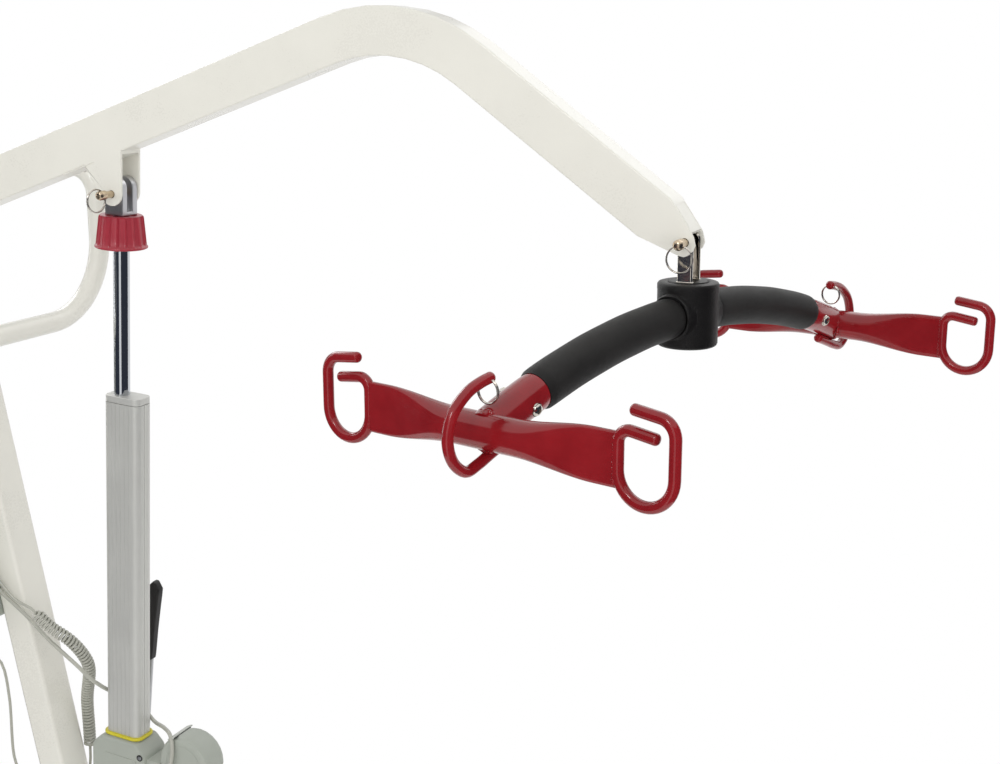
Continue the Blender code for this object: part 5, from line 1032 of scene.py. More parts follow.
@dataclass
class HoistArm:
    """Bent boom with its pins, the hanger below its end and their split rings.

    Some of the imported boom's corners are moved: the ears' outer faces come in from ear_step to tube_half,
    and the closed end slopes back by up to end_cut. Only the tube's own corners are eased in full. They are
    found by how their face leans, within top_leans, and round the bend by their height over the hub.
    """

    ring_radius: float = 0.0155
    ring_lean: float = math.radians(65.0)
    ring_turn: float = math.radians(81.4)
    rear_ring_off: float = 0.0010
    front_ring_off: float = 0.0030
    front_ring_drop: float = 0.0015
    pin_reach: float = 0.0353
    ear_step: float = 0.0213
    ear_slack: float = 0.00008
    ear_ease: float = 0.2
    tube_half: float = 0.021
    edge_slack: float = 0.0005
    rise: float = math.radians(19.2)
    fall: float = math.radians(35.9)
    least_corner: float = math.radians(22)
    top_leans: Spot = (-20.0, 37.0)
    square_on: float = 0.9995
    top_tilt: float = 0.02
    side_on: float = 0.99
    bend_height: float = 0.20
    bend_step: float = 0.05
    end_runs: Spot = (-0.028, 0.03)
    end_height: float = 0.04
    end_hole: float = 0.006
    end_cut: float = 0.018
    cut_run: Spot = (-0.002, 0.032)
    lip_cut: float = 0.003
    lip_run: Spot = (0.009, 0.008)
    weld_drop: float = 0.0302
    weld_side: float = 0.0212
    weld_ends: Spot = (0.270, 0.326)
    weld_radius: float = 0.0011

    def build(self) -> None:
        """Make every piece of the arm."""
        refined("boom", OFF_WHITE, 0.0024, 4, reshape=self.flush, ease=self.tube_corner, parted=self.on_ear)
        refined("boom_pivot_bolt", ZINC)
        refined("hanger", NICKEL, 0.0022, 4)
        rear = ROD_PIN + Vector((0, -self.pin_reach - self.rear_ring_off, 0))
        front = BOOM_PIN + Vector((0, -self.pin_reach - self.front_ring_off, -self.front_ring_drop))
        pins = (("actuator_pin", "upper_pin", ROD_PIN, placed(rear, self.ring_lean, self.ring_turn)),
                ("boom_pin", "hanger_pin", BOOM_PIN, placed(front)))
        for node, body, spot, ring_place in pins:
            dress(self.pin(), f"{node}_finished", body, PASSIVATED, placed(spot), (node,), angle=40.0)
            dress(split_ring(self.ring_radius), f"{node}_ring_finished", f"{body}_ring", NICKEL, ring_place,
                  (f"{node}_ring",))
        cover = [(0.0, 0.0372), (0.0222, 0.0372), (0.0228, 0.0378), (0.0222, 0.0388), (0.0, 0.0388)]
        dress(lathe(cover, 64), "hanger_cover", "hanger", HUB_BLACK, placed(HUB))
        self.welds()

    def flush(self, spot: Vector) -> Vector:
        """Bring the ears' outer faces level with the tube's sides, and slope the closed end back.

        Args:
            spot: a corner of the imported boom.

        Returns:
            Where it goes.
        """
        if abs(abs(spot.y) - self.ear_step) < self.ear_slack:
            spot.y = math.copysign(self.tube_half, spot.y)
        ahead = Vector((math.cos(self.fall), 0, -math.sin(self.fall)))
        above = Vector((math.sin(self.fall), 0, math.cos(self.fall)))
        run, up = (spot - BOOM_PIN).dot(ahead), (spot - BOOM_PIN).dot(above)
        near_end = self.end_runs[0] < run < self.end_runs[1] and up < self.end_height
        if near_end and math.hypot(run, up) > self.end_hole:
            back = self.end_cut * share_of(up, *self.cut_run)
            spot = spot - ahead * max(back, self.lip_cut * share_of(run, *self.lip_run))
        return spot

    def on_ear(self, mesh: bpy.types.Mesh, face: bpy.types.MeshPolygon) -> int:
        """Whether a packed face is an ear's outer face, as 1 or 0."""
        ys = [abs(mesh.vertices[k].co.y) for k in face.vertices]
        return int(all(abs(y - self.ear_step) < self.ear_slack for y in ys))

    def tube_corner(self, edge: bmesh.types.BMEdge) -> float:
        """Full easing along the tube's four corners, and little elsewhere.

        Args:
            edge: an edge of the boom.

        Returns:
            Its share of the easing.
        """
        if len(edge.link_faces) != 2 or edge.calc_face_angle(0.0) < self.least_corner:
            return 0.0
        side, other = (face.normal for face in sorted(edge.link_faces, key=lambda face: -abs(face.normal.y)))
        rear = Vector((-math.sin(self.rise), 0, math.cos(self.rise)))
        front = Vector((math.sin(self.fall), 0, math.cos(self.fall)))
        outer = all(abs(vertex.co.y) > self.tube_half - self.edge_slack for vertex in edge.verts)
        lean = math.degrees(math.atan2(other.x, abs(other.z))) * math.copysign(1, other.z)
        square = abs(other.y) < self.top_tilt and abs(side.y) > self.side_on
        along = self.top_leans[0] < lean < self.top_leans[1] and square
        straight = max(abs(other.dot(rear)), abs(other.dot(front))) > self.square_on
        bend = edge.verts[0].co.z > HUB.z + self.bend_height and edge.calc_length() < self.bend_step
        return 1.0 if outer and along and (straight or bend) else self.ear_ease

    def pin(self) -> Piece:
        """Headed pin about Y with a thicker domed tip.

        Returns:
            The pin.
        """
        profile = [(0.0, -0.0490), (0.0034, -0.0487), (0.0055, -0.0474), (0.0064, -0.0448), (0.0064, -0.0350),
                   (0.0058, -0.0342), (0.0049, -0.0338), (0.0049, 0.0216), (0.0074, 0.0216), (0.0080, 0.0222),
                   (0.0080, 0.0254), (0.0070, 0.0265), (0.0, 0.0266)]
        return turned_to(lathe(profile, 48), 'Y')

    def welds(self) -> None:
        """Run of weld along each side of the bracket under the boom."""
        along = Vector((math.cos(self.rise), 0, math.sin(self.rise)))
        up = Vector((-math.sin(self.rise), 0, math.cos(self.rise)))
        under = BOOM_PIVOT - up * self.weld_drop
        for side, word in SIDES:
            ends = [under + along * run + Vector((0, side * self.weld_side, 0)) for run in self.weld_ends]
            dress(bead(ends, self.weld_radius), f"bracket_weld_{word}", "boom", OFF_WHITE)


# Spreader bar

@dataclass
class SpreaderBar:
    """Spreader bar: hub, arched centre bar, foam sleeves, pressed crossbars with three hooks each."""

    arch: float = 1.060
    hub_radius: float = 0.036
    hub_half: float = 0.038
    boss_radius: float = 0.0265
    boss_reach: float = 0.0385
    sleeve_radius: float = 0.0235
    sleeve_end: float = 0.290
    sleeve_steps: int = 44
    sleeve_full: float = 0.010
    sleeve_waver: Spot = (0.004, 23.0)
    sleeve_lip: float = 0.10
    lip_steps: float = 1.2
    tip_reach: float = 0.01
    tip_inset: float = 0.0022
    tip_sink: float = 0.0012
    stub_radius: float = 0.021
    stub_gap: float = 0.0003
    stub_ease: float = 0.0005
    stub_steps: int = 10
    reach: float = 0.369
    bar_radius: float = 0.019
    bar_half: float = 0.1565
    bar_cap: float = 0.0030
    bar_steps: int = 22
    round_half: float = 0.040
    flat_share: float = 0.85
    flat_square: float = 0.45
    pressed_tall: float = 0.055
    pressed_thick: float = 0.010
    rod_radius: float = 0.0060
    hook_inner: float = 0.1597
    hook_tilt: float = 0.0058
    hook_wide: float = 0.0623
    hook_arm: Spot = (0.0447, 0.0260)
    hook_top: Spot = (0.0481, 0.0511)
    hook_low: float = -0.0396
    hook_bends: Spot = (0.013, 0.0182)
    middle_hook: Tuple[Spot, ...] = (
        (-0.011, 0.054), (0.009, 0.0505), (0.0286, 0.0435), (0.048, 0.028), (0.057, 0.004), (0.050, -0.020),
        (0.031, -0.0350), (0.012, -0.0318), (-0.004, -0.0262), (-0.020, -0.0207), (-0.038, -0.0146))
    hook_weld: Spot = (0.0012, 0.0036)
    hook_weld_heights: Spot = (-0.0245, 0.0235)
    hook_weld_radius: float = 0.0024
    stub_weld_radius: float = 0.0023
    stub_weld_off: float = 0.0004
    ring_hole: Spot = (-0.004, 0.0530)
    ring_radius: float = 0.0128
    bolt_run: float = 0.0225
    washer_gap: float = 0.0003
    bolt_turn: float = math.radians(14)

    def arch_point(self, along: float) -> Vector:
        """Point of the arched centre line at a distance along Y."""
        return Vector((0, along, self.arch * (math.cos(math.asin(along / self.arch)) - 1)))

    def build(self) -> None:
        """Make every piece of the spreader bar."""
        self.hub()
        refined("centre_bar", GROUND_STEEL, 0.0)
        for side, word in SIDES:
            self.sleeve(side, word)
            self.crossbar(side, word)
            self.bolt(side, word)
            out, up = self.ring_hole
            spot = (0, side * (self.reach + out), self.arch_point(self.reach).z + up)
            dress(split_ring(self.ring_radius), f"hook_ring_{word}_finished", f"{word}_hook_ring", NICKEL,
                  SPREADER @ Matrix.Translation(spot), (f"hook_ring_{word}",))

    def hub(self) -> None:
        """Cast drum with a rolled boss round each arm and a seat for the hanger's disc."""
        half, radius, rim, reach = self.hub_half, self.hub_radius, self.boss_radius, self.boss_reach
        drum = [(0.0, -half), (radius - 0.004, -half), (radius - 0.0012, -half + 0.0012),
                (radius, -half + 0.004), (radius, half - 0.009), (radius + 0.0003, half - 0.0085),
                (radius + 0.0003, half - 0.003), (radius - 0.0012, half - 0.0008), (radius - 0.004, half),
                (0.0245, half), (0.0232, half - 0.0015), (0.0222, half - 0.0085), (0.0, half - 0.0088)]
        boss = [(0.0, 0.0), (rim + 0.0015, 0.0), (rim + 0.0015, 0.026), (rim, 0.0285), (rim, reach - 0.0022),
                (rim - 0.0008, reach - 0.0006), (rim - 0.0022, reach), (0.0242, reach),
                (0.0240, reach - 0.004), (0.0, reach - 0.004)]
        hub = lathe(drum, 96)
        for side, _ in SIDES:
            weld_on(hub, turned_to(lathe(boss, 72), 'Y', flip=side < 0))
        eased(hub, 0.0012, 2, angle=40.0)
        dress(hub, "spreader_hub_finished", "spreader", HUB_BLACK, SPREADER, ("spreader_hub",),
              angle=38.0)

    def sleeve(self, side: int, word: str) -> None:
        """Foam sleeve pulled over one arm, a little fuller in its middle.

        Args:
            side: -1 for the near arm, or 1.
            word: the arm's name.
        """
        start, end, steps = self.boss_reach - 0.003, self.sleeve_end, self.sleeve_steps
        (waver, waves), lip = self.sleeve_waver, self.sleeve_lip
        path, radii = [], []
        for share in (k / steps for k in range(steps + 1)):
            path.append(self.arch_point(side * (start + (end - start) * share)))
            full = 1.0 + self.sleeve_full * math.sin(math.pi * share) + waver * math.sin(share * waves)
            rolled = min(1.0, min(share, 1 - share) * steps / self.lip_steps) ** 0.5
            radii.append(self.sleeve_radius * full * min(1.0, 1 - lip + lip * rolled))
        sleeve = loft(square_rings(path, radii, 56, Vector((1, 0, 0))))
        tip = self.arch_point(side * end)
        pick_faces(sleeve, lambda face: (face.calc_center_median() - tip).length < self.tip_reach)
        bpy.ops.mesh.inset(thickness=self.tip_inset, depth=-self.tip_sink)
        fresh()
        dress(sleeve, f"foam_sleeve_{word}", "spreader", FOAM_BLACK, SPREADER, (f"sleeve_{word}",),
              angle=50.0)

    def section(self, along: float, sides: int = 40) -> List[Vector]:
        """Ring round the crossbar: a round tube that is pressed flat towards its ends.

        Args:
            along: how far it is from the crossbar's middle.
            sides: points in the ring.

        Returns:
            The ring.
        """
        flat = share_of(abs(along), self.round_half, self.bar_half * self.flat_share - self.round_half)
        flat = flat * flat * (3 - 2 * flat)
        tall = self.bar_radius + (self.pressed_tall / 2 - self.bar_radius) * flat
        thick = self.bar_radius + (self.pressed_thick / 2 - self.bar_radius) * flat
        power = 1 - self.flat_square * flat
        return [Vector((along, math.copysign(abs(math.cos(a)) ** power, math.cos(a)) * thick,
                        math.copysign(abs(math.sin(a)) ** power, math.sin(a)) * tall))
                for a in (2 * math.pi * (k + 0.5) / sides for k in range(sides))]

    def end_hook(self, side: int) -> List[Vector]:
        """Path of an open hook whose two ends lie one above the other.

        Args:
            side: the crossbar's end, -1 or 1.

        Returns:
            The path.
        """
        inner, outer, half = self.hook_inner, self.hook_inner + self.hook_wide, self.hook_wide / 2
        (arm_run, arm), (top_run, top), foot = self.hook_arm, self.hook_top, self.hook_low + half
        corners = [(inner + arm_run, 0, arm), (inner, 0, arm + self.hook_tilt), (inner, 0, foot)]
        start = filleted(corners, self.hook_bends[0], 8)
        bottom = [Vector((x, 0, z)) for x, z in arc((inner + half, foot), half, 180, 360, 22)]
        corners = [(outer, 0, foot), (outer, 0, top - self.hook_tilt), (outer - top_run, 0, top)]
        finish = filleted(corners, self.hook_bends[1], 10)
        return [Vector((side * p.x, p.y, p.z)) for p in start[:-1] + bottom + finish[1:]]

    def crossbar(self, side: int, word: str) -> None:
        """Pressed tube with its stub, hooks and the runs of weld that join them.

        Args:
            side: -1 for the near crossbar, or 1.
            word: the crossbar's name.
        """
        place = SPREADER @ Matrix.Translation((0, side * self.reach, self.arch_point(self.reach).z))
        end = self.bar_half + self.bar_cap
        steps = self.bar_steps
        stations = [-end] + [self.bar_half * (k / steps - 1) for k in range(1, steps * 2)] + [end]
        tube = eased(loft([self.section(s) for s in stations]), 0.0010, 3, angle=60.0)
        dress(tube, f"crossbar_{word}_finished", "spreader", DEEP_RED, place, (f"crossbar_{word}",),
              angle=45.0, weighted=False)
        start = self.sleeve_end + self.stub_gap
        steps, long = self.stub_steps, self.reach - self.sleeve_end
        path = [self.arch_point(side * (start + long * k / steps)) for k in range(steps + 1)]
        stub = loft(square_rings(path, [self.stub_radius - self.stub_ease] + [self.stub_radius] * steps, 64))
        dress(stub, f"crossbar_stub_{word}", "spreader", DEEP_RED, SPREADER)
        welds = []
        for way, end_word in ((-1, "rear"), (1, "front")):
            hook = rod(self.end_hook(way), self.rod_radius, 28, True)
            dress(hook, f"end_hook_{word}_{end_word}", "spreader", DEEP_RED, place, angle=60.0,
                  weighted=False)
            for face in (-1, 1):
                across = (way * (self.bar_half + self.hook_weld[0]), face * self.hook_weld[1])
                spots = [Vector((*across, z)) for z in self.hook_weld_heights]
                welds.append(bead(spots, self.hook_weld_radius))
        route = smooth_route([(0, side * out, up) for out, up in self.middle_hook], 48)
        hook = rod(route, self.rod_radius, 28, True)
        dress(hook, f"middle_hook_{word}", "spreader", DEEP_RED, place, angle=60.0, weighted=False)
        welds.append(bead(self.saddle(side), self.stub_weld_radius, True))
        dress(joined(welds), f"crossbar_welds_{word}", "spreader", DEEP_RED, place, angle=70.0,
              weighted=False)

    def saddle(self, side: int) -> List[Vector]:
        """Line in which a stub meets its crossbar.

        Args:
            side: -1 for the near crossbar, or 1.

        Returns:
            The closed line's points.
        """
        ring = []
        for a in (2 * math.pi * k / 48 for k in range(48)):
            up = self.stub_radius * math.sin(a)
            out = math.sqrt(max(self.bar_radius ** 2 - up ** 2, 0.0)) + self.stub_weld_off
            ring.append(Vector((self.stub_radius * math.cos(a), -side * out, up)))
        return ring

    def bolt(self, side: int, word: str) -> None:
        """Button head bolt with a socket and a washer, and a dome nut at its other end.

        Args:
            side: -1 for the near arm, or 1.
            word: the arm's name.
        """
        seat = self.stub_radius + self.washer_gap
        head = [(0.0, seat), (0.0074, seat - 0.0012), (0.0074, seat + 0.0006), (0.0066, seat + 0.0007),
                (0.0064, seat + 0.0016), (0.0054, seat + 0.0030), (0.0038, seat + 0.0038),
                (0.0026, seat + 0.0040), (0.0024, seat + 0.0038), (0.0022, seat + 0.0016),
                (0.0, seat + 0.0012)]
        nut = [(0.0, -seat), (0.0074, -seat + 0.0012), (0.0074, -seat - 0.0006), (0.0062, -seat - 0.0008),
               (0.0062, -seat - 0.0036), (0.0050, -seat - 0.0048), (0.0042, -seat - 0.0062),
               (0.0022, -seat - 0.0074), (0.0, -seat - 0.0078)]
        piece = joined([turned_to(lathe(profile, 40), 'X') for profile in (head, nut)])
        spot = self.arch_point(side * (self.sleeve_end + self.bolt_run))
        piece.data.transform(Matrix.Translation(spot) @ Matrix.Rotation(self.bolt_turn, 4, 'Y'))
        dress(piece, f"spreader_bolt_{word}_finished", "spreader", NICKEL, SPREADER,
              (f"spreader_bolt_{word}",), angle=40.0)


# Linear actuator, in its own frame: origin at the upper pin, Z up along the rod

@dataclass
class Actuator:
    """Electric actuator: fork, rod, release collar, profile, gearbox and motor.

    A groove of the profile is its place along the face, its depth and half its width. The lid and the painted
    shade of the gap beside it run round the motor between angles in degrees.
    """

    rod_radius: float = 0.0115
    rod_ends: Spot = (-0.439, -0.030)
    rod_ease: float = 0.001
    fork_half: float = 0.015
    fork_lift: float = 0.006
    fork_tops: Spot = (-0.004, 0.0058)
    slot_half: float = 0.0045
    slot_open: float = 0.0056
    collar_low: float = -0.076
    collar_top: float = -0.0303
    collar_flutes: int = 18
    flute_deep: float = 0.0024
    flute_power: int = 7
    profile_long: float = 0.060
    profile_wide: float = 0.036
    profile_corner: float = 0.010
    profile_shift: float = 0.010
    tube_top: float = -0.2983
    tube_low: float = -0.8203
    cap_top: float = -0.288
    cap_inset: float = 0.0002
    cap_gap: float = 0.0003
    face_grooves: Tuple[Point, ...] = tuple((step * 0.0075, 0.0004, 0.00045) for step in range(-2, 3))
    side_grooves: Tuple[Point, ...] = ((-0.0010, 0.0010, 0.0009), (0.0052, 0.0004, 0.0004),
                                       (-0.0064, 0.0004, 0.0004))
    panel_size: Point = (0.060, 0.056, 0.006)
    panel_centre: Spot = (0.0150, -0.8745)
    panel_faces: Spot = (-0.0288, -0.0270)
    screws: Tuple[Spot, ...] = ((0.0510, -0.8400), (0.0510, -0.9150), (-0.0270, -0.9150))
    motor_radius: float = 0.045
    motor_ahead: float = 0.126
    motor_height: float = -0.8346
    lid_turns: Spot = (111.5, 120.0)
    lid_proud: float = 0.0013
    lid_sink: float = 0.0008
    lid_way: float = math.radians(210.0)
    lid_run: float = 0.005
    lid_half: float = 0.0236
    # Where the strip of painted shade lies in the gap beside the lid.
    gap_turns: Spot = (108.6, 111.4)
    gap_proud: float = 0.0003
    gap_ends: Spot = (-0.0225, 0.0165)

    def build(self) -> None:
        """Make every piece of the actuator."""
        refined("rod_fork", GROUND_STEEL, 0.0011, 3, reshape=self.fork_shape)
        self.piston()
        self.collar()
        self.tube()
        self.gearbox()
        self.motor()

    def fork_shape(self, spot: Vector) -> Vector:
        """Raise the fork's rounded top and open its slot a little.

        Args:
            spot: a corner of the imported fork.

        Returns:
            Where it goes.
        """
        inner = ACTUATOR.inverted() @ spot
        low, high = self.fork_tops
        if inner.z > high or (inner.z > low and abs(abs(inner.x) - self.fork_half) < 0.001):
            inner.z += self.fork_lift
        if abs(abs(inner.y) - self.slot_half) < 0.0002:
            inner.y = math.copysign(self.slot_open, inner.y)
        return ACTUATOR @ inner

    def piston(self) -> None:
        """Hard chromed rod with eased rims."""
        (low, high), ease = self.rod_ends, self.rod_ease
        rim = [(self.rod_radius - ease + ease * math.sin(a), ease * (1 - math.cos(a)))
               for a in (math.pi / 2 * k / 4 for k in range(5))]
        profile = [(0.0, low)] + [(r, low + h) for r, h in rim] + [(r, high - h) for r, h in reversed(rim)]
        dress(lathe(profile + [(0.0, high)], 72), "piston_rod_finished", "actuator_rod", PISTON_CHROME,
              ACTUATOR, ("piston_rod",), angle=40.0)

    def collar(self) -> None:
        """Fluted release collar with a flange round its foot."""
        low, top = self.collar_low, self.collar_top
        flange = [(0.0121, low), (0.0350, low), (0.0362, low + 0.0006), (0.0365, low + 0.0016),
                  (0.0362, low + 0.0028), (0.0350, low + 0.0040)]
        fluted = [(0.0345, low + 0.0062), (0.0333, low + 0.018), (0.0320, low + 0.030),
                  (0.0308, top - 0.0042), (0.0302, top - 0.0016)]
        crown = [(0.0288, top - 0.0002), (0.0265, top), (0.0215, top), (0.0205, top - 0.0035),
                 (0.0121, top - 0.0038)]
        collar = lathe(flange + fluted + crown, self.collar_flutes * 12)
        for vertex in collar.data.vertices:
            reach = math.hypot(vertex.co.x, vertex.co.y)
            if any(abs(reach - r) < 1e-5 and abs(vertex.co.z - z) < 1e-5 for r, z in fluted):
                turn = math.atan2(vertex.co.y, vertex.co.x)
                ridge = max(0.0, math.cos(self.collar_flutes * turn)) ** self.flute_power
                scale = 1.0 - self.flute_deep * (1 - ridge) / reach
                vertex.co.x *= scale
                vertex.co.y *= scale
        dress(collar, "release_collar_finished", "lowering_collar", COLLAR_RED, ACTUATOR, ("release_collar",),
              angle=48.0, weighted=False)

    def outline(self, grow: float = 0.0) -> List[Spot]:
        """Cross-section of the profile, grown by a margin."""
        return rounded(self.profile_long + grow * 2, self.profile_wide + grow * 2,
                       self.profile_corner + grow, 8, self.profile_shift)

    def grooved(self) -> List[Spot]:
        """Cross-section of the profile with the fine grooves of its extrusion.

        Returns:
            The corners of its outline.
        """
        plain, middle = self.outline(), self.profile_shift
        shape: List[Spot] = []
        for (ax, ay), (bx, by) in zip(plain, plain[1:] + plain[:1]):
            shape.append((ax, ay))
            face, long = abs(ay - by) < 1e-7, math.hypot(bx - ax, by - ay)
            if long < (0.02 if face else 0.01) or not (face or abs(ax - bx) < 1e-7):
                continue
            way = 1 if (bx - ax if face else by - ay) > 0 else -1
            inward = -math.copysign(1, ay) if face else -math.copysign(1, ax - middle)
            cuts = self.face_grooves if face else self.side_grooves
            for spot, deep, half in sorted(cuts, key=lambda cut: cut[0] * way):
                for step, sink in ((-half, 0.0), (-half * 0.5, deep), (half * 0.5, deep), (half, 0.0)):
                    run, sunk = step * way, inward * sink
                    shape.append((middle + spot + run, ay + sunk) if face else (ax + sunk, spot + run))
        return shape

    def tube(self) -> None:
        """Anodised profile, its end cap and the yellow seal at its foot."""
        profile = prism(self.grooved(), 'XY', self.tube_low, self.tube_top)
        dress(profile, "actuator_profile", "actuator_body", ANODISED, ACTUATOR, ("actuator_tube",),
              angle=40.0)
        cap = prism(self.outline(-self.cap_inset), 'XY', self.tube_top + self.cap_gap, self.cap_top)
        dress(eased(cap, 0.0012, 3), "profile_end_cap", "actuator_body", ANODISED, ACTUATOR, ("tube_cap",),
              angle=40.0)
        rings = [(0.0020, 0.0002), (0.0040, 0.0004), (0.0045, 0.0016), (0.0043, 0.0030), (0.0030, 0.0040),
                 (0.0012, 0.0042)]
        low = self.tube_low
        seal = loft([[Vector((x, y, low + up)) for x, y in self.outline(grow)] for grow, up in rings])
        dress(seal, "profile_seal", "actuator_body", SEAL_YELLOW, ACTUATOR, ("seal_ring",), angle=60.0)

    def gearbox(self) -> None:
        """Housing with a raised panel, and screws in wells painted dark as their shade."""
        refined("gearbox", HOUSING_GREY, 0.0010, angle=42.0)
        long, tall, corner = self.panel_size
        panel = eased(prism(rounded(long, tall, corner, 5), 'XZ', *self.panel_faces), 0.0003, 2)
        place = ACTUATOR @ Matrix.Translation((self.panel_centre[0], 0, self.panel_centre[1]))
        dress(panel, "gearbox_panel", "actuator_body", HOUSING_GREY, place)
        well = [(0.0, 0.0275), (0.0050, 0.0275), (0.0050, 0.0284), (0.0046, 0.0287), (0.0036, 0.0283),
                (0.0, 0.0283)]
        head = [(0.0, 0.0280), (0.0031, 0.0280), (0.0031, 0.0285), (0.0026, 0.0288), (0.0012, 0.0288),
                (0.0010, 0.0284), (0.0, 0.0284)]
        # The wells take the near-black finish: painted shade round each screw.
        for profile, name, finish in ((well, "gearbox_screw_wells_painted_shade", PAINTED_SHADE_BLACK),
                                      (head, "gearbox_screws", ZINC)):
            turned = [turned_to(lathe(profile, 32), 'Y', (x, 0, z), True) for x, z in self.screws]
            dress(joined(turned), name, "actuator_body", finish, ACTUATOR, angle=30.0)

    def motor(self) -> None:
        """Motor drum with its rims, the lid strip over its shoulder and a dark strip beside it that is
        painted shade in the gap.
        """
        refined("motor_housing", HOUSING_GREY, angle=42.0)
        x, z, r = self.motor_ahead, self.motor_height, self.motor_radius
        rim = [(r - 0.016, 0.0235), (r - 0.0135, 0.0235), (r - 0.0130, 0.0244), (r - 0.0155, 0.0244)]
        rims = joined([turned_to(lathe(rim, 72), 'Y', (x, 0, z), flip) for flip in (False, True)])
        dress(rims, "motor_rims", "actuator_body", HOUSING_GREY, ACTUATOR, angle=40.0)
        (start, end), sunk = self.lid_turns, r - self.lid_sink
        over, under = arc((x, z), r + self.lid_proud, start, end, 4), arc((x, z), sunk, end, start, 4)
        run = Vector((math.cos(self.lid_way), math.sin(self.lid_way))) * self.lid_run
        foot = [(a + run.x, b + run.y) for a, b in (over[-1], under[0])]
        lid = eased(prism(over + foot + under, 'XZ', -self.lid_half, self.lid_half), 0.0004, 2)
        dress(lid, "motor_lid", "actuator_body", LID_GREY, ACTUATOR)
        # The dark strip, a little proud of the drum, is painted shade where the gap beside the lid lies.
        start, end = self.gap_turns
        slit = arc((x, z), r + self.gap_proud, start, end, 3) + arc((x, z), sunk, end, start, 3)
        dress(prism(slit, 'XZ', *self.gap_ends), "motor_lid_gap_painted_shade", "actuator_body", PAINTED_SHADE_BLACK, ACTUATOR)


# Cords

CORD_RADIUS = 0.0022
MOTOR_LEAD_RADIUS = 0.003
COIL_ROUTE = ((-0.983, -0.051, -0.5177), (-0.9645, -0.038, -0.545), (-0.9442, -0.022, -0.5686),
              (-0.9352, -0.004, -0.5985), (-0.9378, 0.010, -0.6294), (-0.9614, 0.028, -0.6883),
              (-0.9705, 0.038, -0.7457), (-0.9748, 0.042, -0.783))
LEAD_ROUTE = ((-1.052, -0.042, -0.487), (-1.025, -0.044, -0.5075))
TAIL_ROUTE = ((-0.985, 0.048, -0.822), (-1.012, 0.050, -0.850), (-1.052, 0.036, -0.860),
              (-1.083, 0.012, -0.840), (-1.094, 0.0, -0.804), (-1.089, -0.005, -0.699),
              (-1.097, -0.010, -0.6355), (-1.110, -0.045, -0.604), (-1.122, -0.090, -0.562),
              (-1.133, -0.106, -0.480), (-1.146, -0.116, -0.400), (-1.151, -0.135, -0.330))
BOX_LEAD_ROUTE = ((-1.048, -0.0355, -0.512), (-1.008, -0.036, -0.538), (-0.975, -0.036, -0.565),
                  (-0.9396, -0.036, -0.5881), (-0.9210, -0.0345, -0.6015), (-0.9085, -0.0290, -0.6170))
MOTOR_LEAD_ROUTE = ((-0.8925, -0.0020, -0.6490), (-0.8900, 0.0120, -0.6600), (-0.8840, 0.0235, -0.6660),
                    (-0.870, 0.029, -0.6755), (-0.850, 0.0285, -0.688), (-0.826, 0.019, -0.697),
                    (-0.794, 0.000, -0.692), (-0.7676, -0.020, -0.6905), (-0.7588, -0.0292, -0.7118))
LEAD_MEET = (-0.8990, -0.0205, -0.6310)
LEAD_WAY = Vector((0.33, 0.62, -0.71)).normalized()


